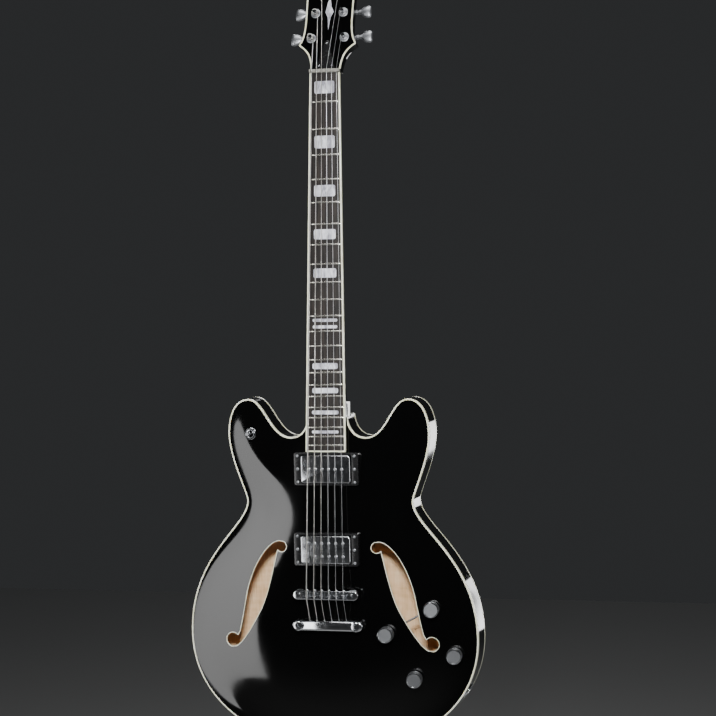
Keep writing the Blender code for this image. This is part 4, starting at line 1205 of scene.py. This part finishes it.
def buildBridge(s):
    station = s["station"]
    bar = drawn(rounded((0, station), s["half"], 6.1, 10), s["near"], s["far"], None, 1.0)
    wide, reach, floorDepth = s["trough"]
    carve(bar, block((-wide, station - reach, s["near"] - 3), (wide, station + reach, floorDepth)))
    for side in (-1, 1):
        carve(bar, turned(((s["pinHole"], -20), (s["pinHole"], 20)),
                          aimed(place(side * s["pinX"], station, -27), forward), 32))
    for index in range(6):
        x = (index - 2.5) * guitar["bridgePitch"]
        carve(bar, turned(((s["screw"] + 0.05, -9), (s["screw"] + 0.05, 9)),
                          aimed(place(x, station, s["screwDepth"]), (0, 0, 1)), 16))
    finished(bake(bar, bodyFrame), "bridgeBar", chrome, body="bridge",
             stands=["bridge_body"], angle=35)

    screws = []
    for index, radius in enumerate(guitar["stringRadii"]):
        x = (index - 2.5) * guitar["bridgePitch"]
        spot = place(x, station - s["half"][1] - 0.1, s["screwDepth"])
        screw = turned(((s["screw"], -11.6), (s["screw"], 0.0), (1.9, 0.0), (1.9, 0.9), (1.5, 1.3)),
                       aimed(spot, (0, 0, 1)), 24)
        groove = block((x - 2.4, station - s["half"][1] - 1.6, s["screwDepth"] - 0.28),
                       (x + 2.4, station - s["half"][1] - 0.8, s["screwDepth"] + 0.28))
        screws.append(carve(screw, groove))

        centre = station + s["offsets"][index]
        low, high = s["saddleSpread"]
        saddle = block((x - s["saddleHalf"], centre - low, s["saddlePeak"]),
                       (x + s["saddleHalf"], centre + low, s["saddleFoot"]))
        for vert in saddle.data.vertices:
            if vert.co.y < (s["saddleFoot"] - 1) * mm:
                vert.co.z = -centre * mm + (vert.co.z + centre * mm) * high / low
                vert.co.x = x * mm + (vert.co.x - x * mm) * 0.62
        soften(saddle, 0.22, 2, 20)
        carve(saddle, turned(((radius + 0.14, -6), (radius + 0.14, 6)),
                             aimed(place(x, centre, s["saddlePeak"] + 0.5 - radius), (0, 0, 1)), 20))
        carve(saddle, turned(((s["screw"] + 0.25, -6), (s["screw"] + 0.25, 6)),
                             aimed(place(x, centre, s["screwDepth"]), (0, 0, 1)), 20))
        finished(bake(saddle, bodyFrame), f"saddleNumber{6 - index}", satinChrome,
                 body=f"saddle_{index + 1}",
                 stands=[f"saddle_{index + 1}"], angle=30)
    finished(bake(together(screws), bodyFrame), "intonationScrews", chrome, body="bridge",
             angle=40)

    for side, hand in ((-1, "bass"), (1, "treble")):
        stud = turned(((2.4, 10.0), (2.7, 9.7), (2.7, 1.6), (7.6, 1.6), (8.0, 1.2), (8.0, -1.2), (7.6,
            -1.6), (3.3, -1.6),
                       (3.3, -30.0)), None, 60)
        knurled(stud, 7.9, 8.1, 0.35)
        slot = block((-0.45, -4, -4), (0.45, 4, 4))
        bake(slot, Matrix.Translation((0, 0, 12.6 * mm)))
        carve(stud, slot)
        matrix = bodyFrame @ aimed(place(side * s["pinX"], station, -21.5), forward)
        finished(bake(stud, matrix @ Matrix.Rotation(0.5 + side * 0.4, 4, "Z")),
                 f"bridgeStud{hand.capitalize()}", chrome,
                 body=f"bridge_stud_{hand}", stands=[f"bridge_stud_{hand}"], angle=25)
    print("bridge built")


buildBridge(bridgeShape)


# Stop tailpiece

tailpieceShape = {
    "station": 759.2, "half": (50.0, 7.0), "near": -25.6, "far": -14.4, "studX": 41.0, "studDepth": -20.0,
    "bore": 1.7,
}


def buildTailpiece(s):
    station = s["station"]
    bar = drawn(rounded((0, station), s["half"], 6.9, 12), s["near"], s["far"])
    soften(bar, 4.2, 6, 50)
    for side in (-1, 1):
        x = side * s["studX"]
        carve(bar, block((x - 4, station - 12, s["near"] - 4), (x + 4, station + 4, s["far"] + 4), None, 0))
    for index in range(6):
        x = (index - 2.5) * guitar["bridgePitch"]
        carve(bar, turned(((s["bore"], -10), (s["bore"], 10)), aimed(place(x, station - 2, s["studDepth"]),
                                                                     (0, 0, 1)), 20))
    soften(bar, 0.25, 2, 40)
    finished(bake(bar, bodyFrame), "tailpieceBar", chrome, stands=["tailpiece"], angle=35)
    balls = [turned(((1.5, -1.4), (1.6, 0.0), (1.5, 1.4)),
                    bodyFrame @ aimed(place((index - 2.5) * guitar["bridgePitch"], station + 2.8,
                                            s["studDepth"]), (0, 0, 1)),
                    16) for index in range(6)]
    finished(together(balls), "stringBallEnds", fretMetal, angle=40)
    for side, hand in ((-1, "bass"), (1, "treble")):
        stud = turned(((4.9, 9.2), (5.9, 8.9), (6.4, 8.4), (6.4, 6.0), (3.5, 6.0), (3.5, -6.0), (6.4, -6.0),
                       (6.4, -8.0),
                       (4.0, -8.0), (4.0, -31.0)), None, 48)
        slot = bake(block((-0.8, -8, -4), (0.8, 8, 4)), Matrix.Translation((0, 0, 10.9 * mm)))
        carve(stud, slot)
        matrix = bodyFrame @ aimed(place(side * s["studX"], station, s["studDepth"]), forward)
        finished(bake(stud, matrix @ Matrix.Rotation(0.3 - side * 0.5, 4, "Z")),
                 f"tailpieceStud{hand.capitalize()}",
                 chrome, stands=[f"tailpiece_stud_{hand}"], angle=25)
    print("tailpiece built")


buildTailpiece(tailpieceShape)


# Knobs, switch, jack and strap buttons

controlShape = {
    "knobs": {"knob_neck_volume": (143.3, 735.1), "knob_bridge_volume": (80.9, 769.6),
              "knob_neck_tone": (173.2, 797.7), "knob_bridge_tone": (118.3, 830.1)},
    "seat": 0.8, "switch": (-110.9, 496.9), "pivot": 4.0,
    "jackMouth": (0.184692, -0.01685, -0.8615), "jackOutward": (0.820345, 0, -0.571868),
    "strapEnd": (0, 935, 21.15), "strapNeck": (0, 460, 42.3),
}


def buildControls(s):
    # the skirt is knurled, and a turned cap with a raised rim is set in its top
    grip = turned(((9.7, 14.5), (10.4, 14.2), (10.7, 13.6), (10.8, 2.2), (3.0, 2.2), (3.0, -12.0)), None,
                  60)
    knurled(grip, 10.3, 10.9, 0.3)
    cap = turned(((8.9, 14.35), (8.9, 14.6), (9.2, 15.0), (9.9, 15.0), (10.3, 14.7), (10.4, 14.1), (8.9,
                                                                                                    14.0),
                  (8.9, 14.35)), None, 60, hollow=True)
    disc = turned(((9.0, 13.9), (9.0, 14.4)), None, 60)
    for name, (x, station) in s["knobs"].items():
        matrix = onTop(x, station, s["seat"])
        words = "".join(word.capitalize() for word in name.split("_")[1:])
        finished(copied(grip, matrix), f"knobGrip{words}", satinChrome, body=name,
                 stands=[name], angle=25)
        finished(copied(cap, matrix), f"knobRim{words}", chrome, body=name, angle=35)
        finished(copied(disc, matrix), f"knobTop{words}", knobCap, body=name, angle=35)
    for master in (grip, cap, disc):
        bpy.data.objects.remove(master)

    seat = onTop(*s["switch"], 0.8)
    bush = turned(((4.2, 2.6), (5.4, 2.6), (6.0, 2.2), (6.0, 1.2), (7.9, 1.2), (8.2, 0.9), (8.2, 0.0), (4.2,
        0.0),
                   (4.2, 2.6)), None, 48, hollow=True)
    finished(bake(bush, seat), "switchRing", chrome, angle=35)
    lever = turned(((2.2, 20.0), (2.9, 19.3), (3.3, 18.2), (3.4, 16.5), (3.3, 14.5), (2.7, 12.0), (1.8,
        9.0), (1.7, 3.0),
                    (3.2, 0.8), (3.4, 0.0), (3.2, -0.8), (1.5, -3.0), (1.5, -9.0)), None, 32)
    pivot = onTop(*s["switch"], -s["pivot"])
    finished(bake(lever, pivot), "switchLever", satinChrome, body="switch_lever",
             stands=["switch_lever"],
             angle=40)

    mouth = aimed(Vector(s["jackMouth"]), s["jackOutward"])
    jack = turned(((3.7, -22), (3.7, 0), (4.4, 2.4), (4.8, 2.8), (6.6, 2.8), (7.0, 2.5), (7.0, 1.8), (10.6,
        1.8), (11.0, 1.5),
                   (11.0, 0.9), (5.6, 0.9), (5.6, -6), (8.5, -6), (8.5, -25), (3.7, -25), (3.7, -22)), None,
                   48, hollow=True)
    plug = turned(((3.75, -24.8), (3.75, -22.2)), None, 32)
    finished(bake(together([jack, plug]), mouth), "outputJack", chrome, stands=["jack"],
             angle=35)

    button = turned(((4.6, 13.5), (6.0, 13.3), (6.8, 12.8), (7.0, 12.2), (7.0, 11.7), (6.6, 11.3), (5.2,
        10.2), (4.0, 8.6),
                     (3.7, 7.0), (4.1, 4.2), (5.2, 2.4), (6.0, 1.6), (6.0, 0.6), (2.1, 0.6), (2.1, -22.0)),
                     None, 40)
    cross = [bake(block(low, high), Matrix.Translation((0, 0, 13.5 * mm)))
             for low, high in (((-2.2, -1.1, -0.4), (2.2, 1.1, 0.4)), ((-0.4, -1.1, -2.2), (0.4, 1.1,
                                                                                            2.2)))]
    carve(button, *cross)
    for name, spot, outward in (("strapButtonEnd", s["strapEnd"], (0, 0, -1)), ("strapButtonNeck",
                                                                                s["strapNeck"], (0, 1, 0))):
        stands = "strap_button_end" if name.endswith("End") else "strap_button_neck"
        finished(copied(button, bodyFrame @ aimed(place(*spot), outward)), name, chrome,
                 stands=[stands],
                 angle=30)
    bpy.data.objects.remove(button)
    print("controls built")


buildControls(controlShape)


# What stays as the CAD drew it, and the end

for name, look in (("nut", bone), ("center_block", maple), ("truss_rod", plainWire), ("wiring_harness",
                                                                                      zinc)):
    nodes[name].material_slots[0].material = look
for master in (slottedScrew, crossScrew, smallCrossScrew):
    bpy.data.objects.remove(master)
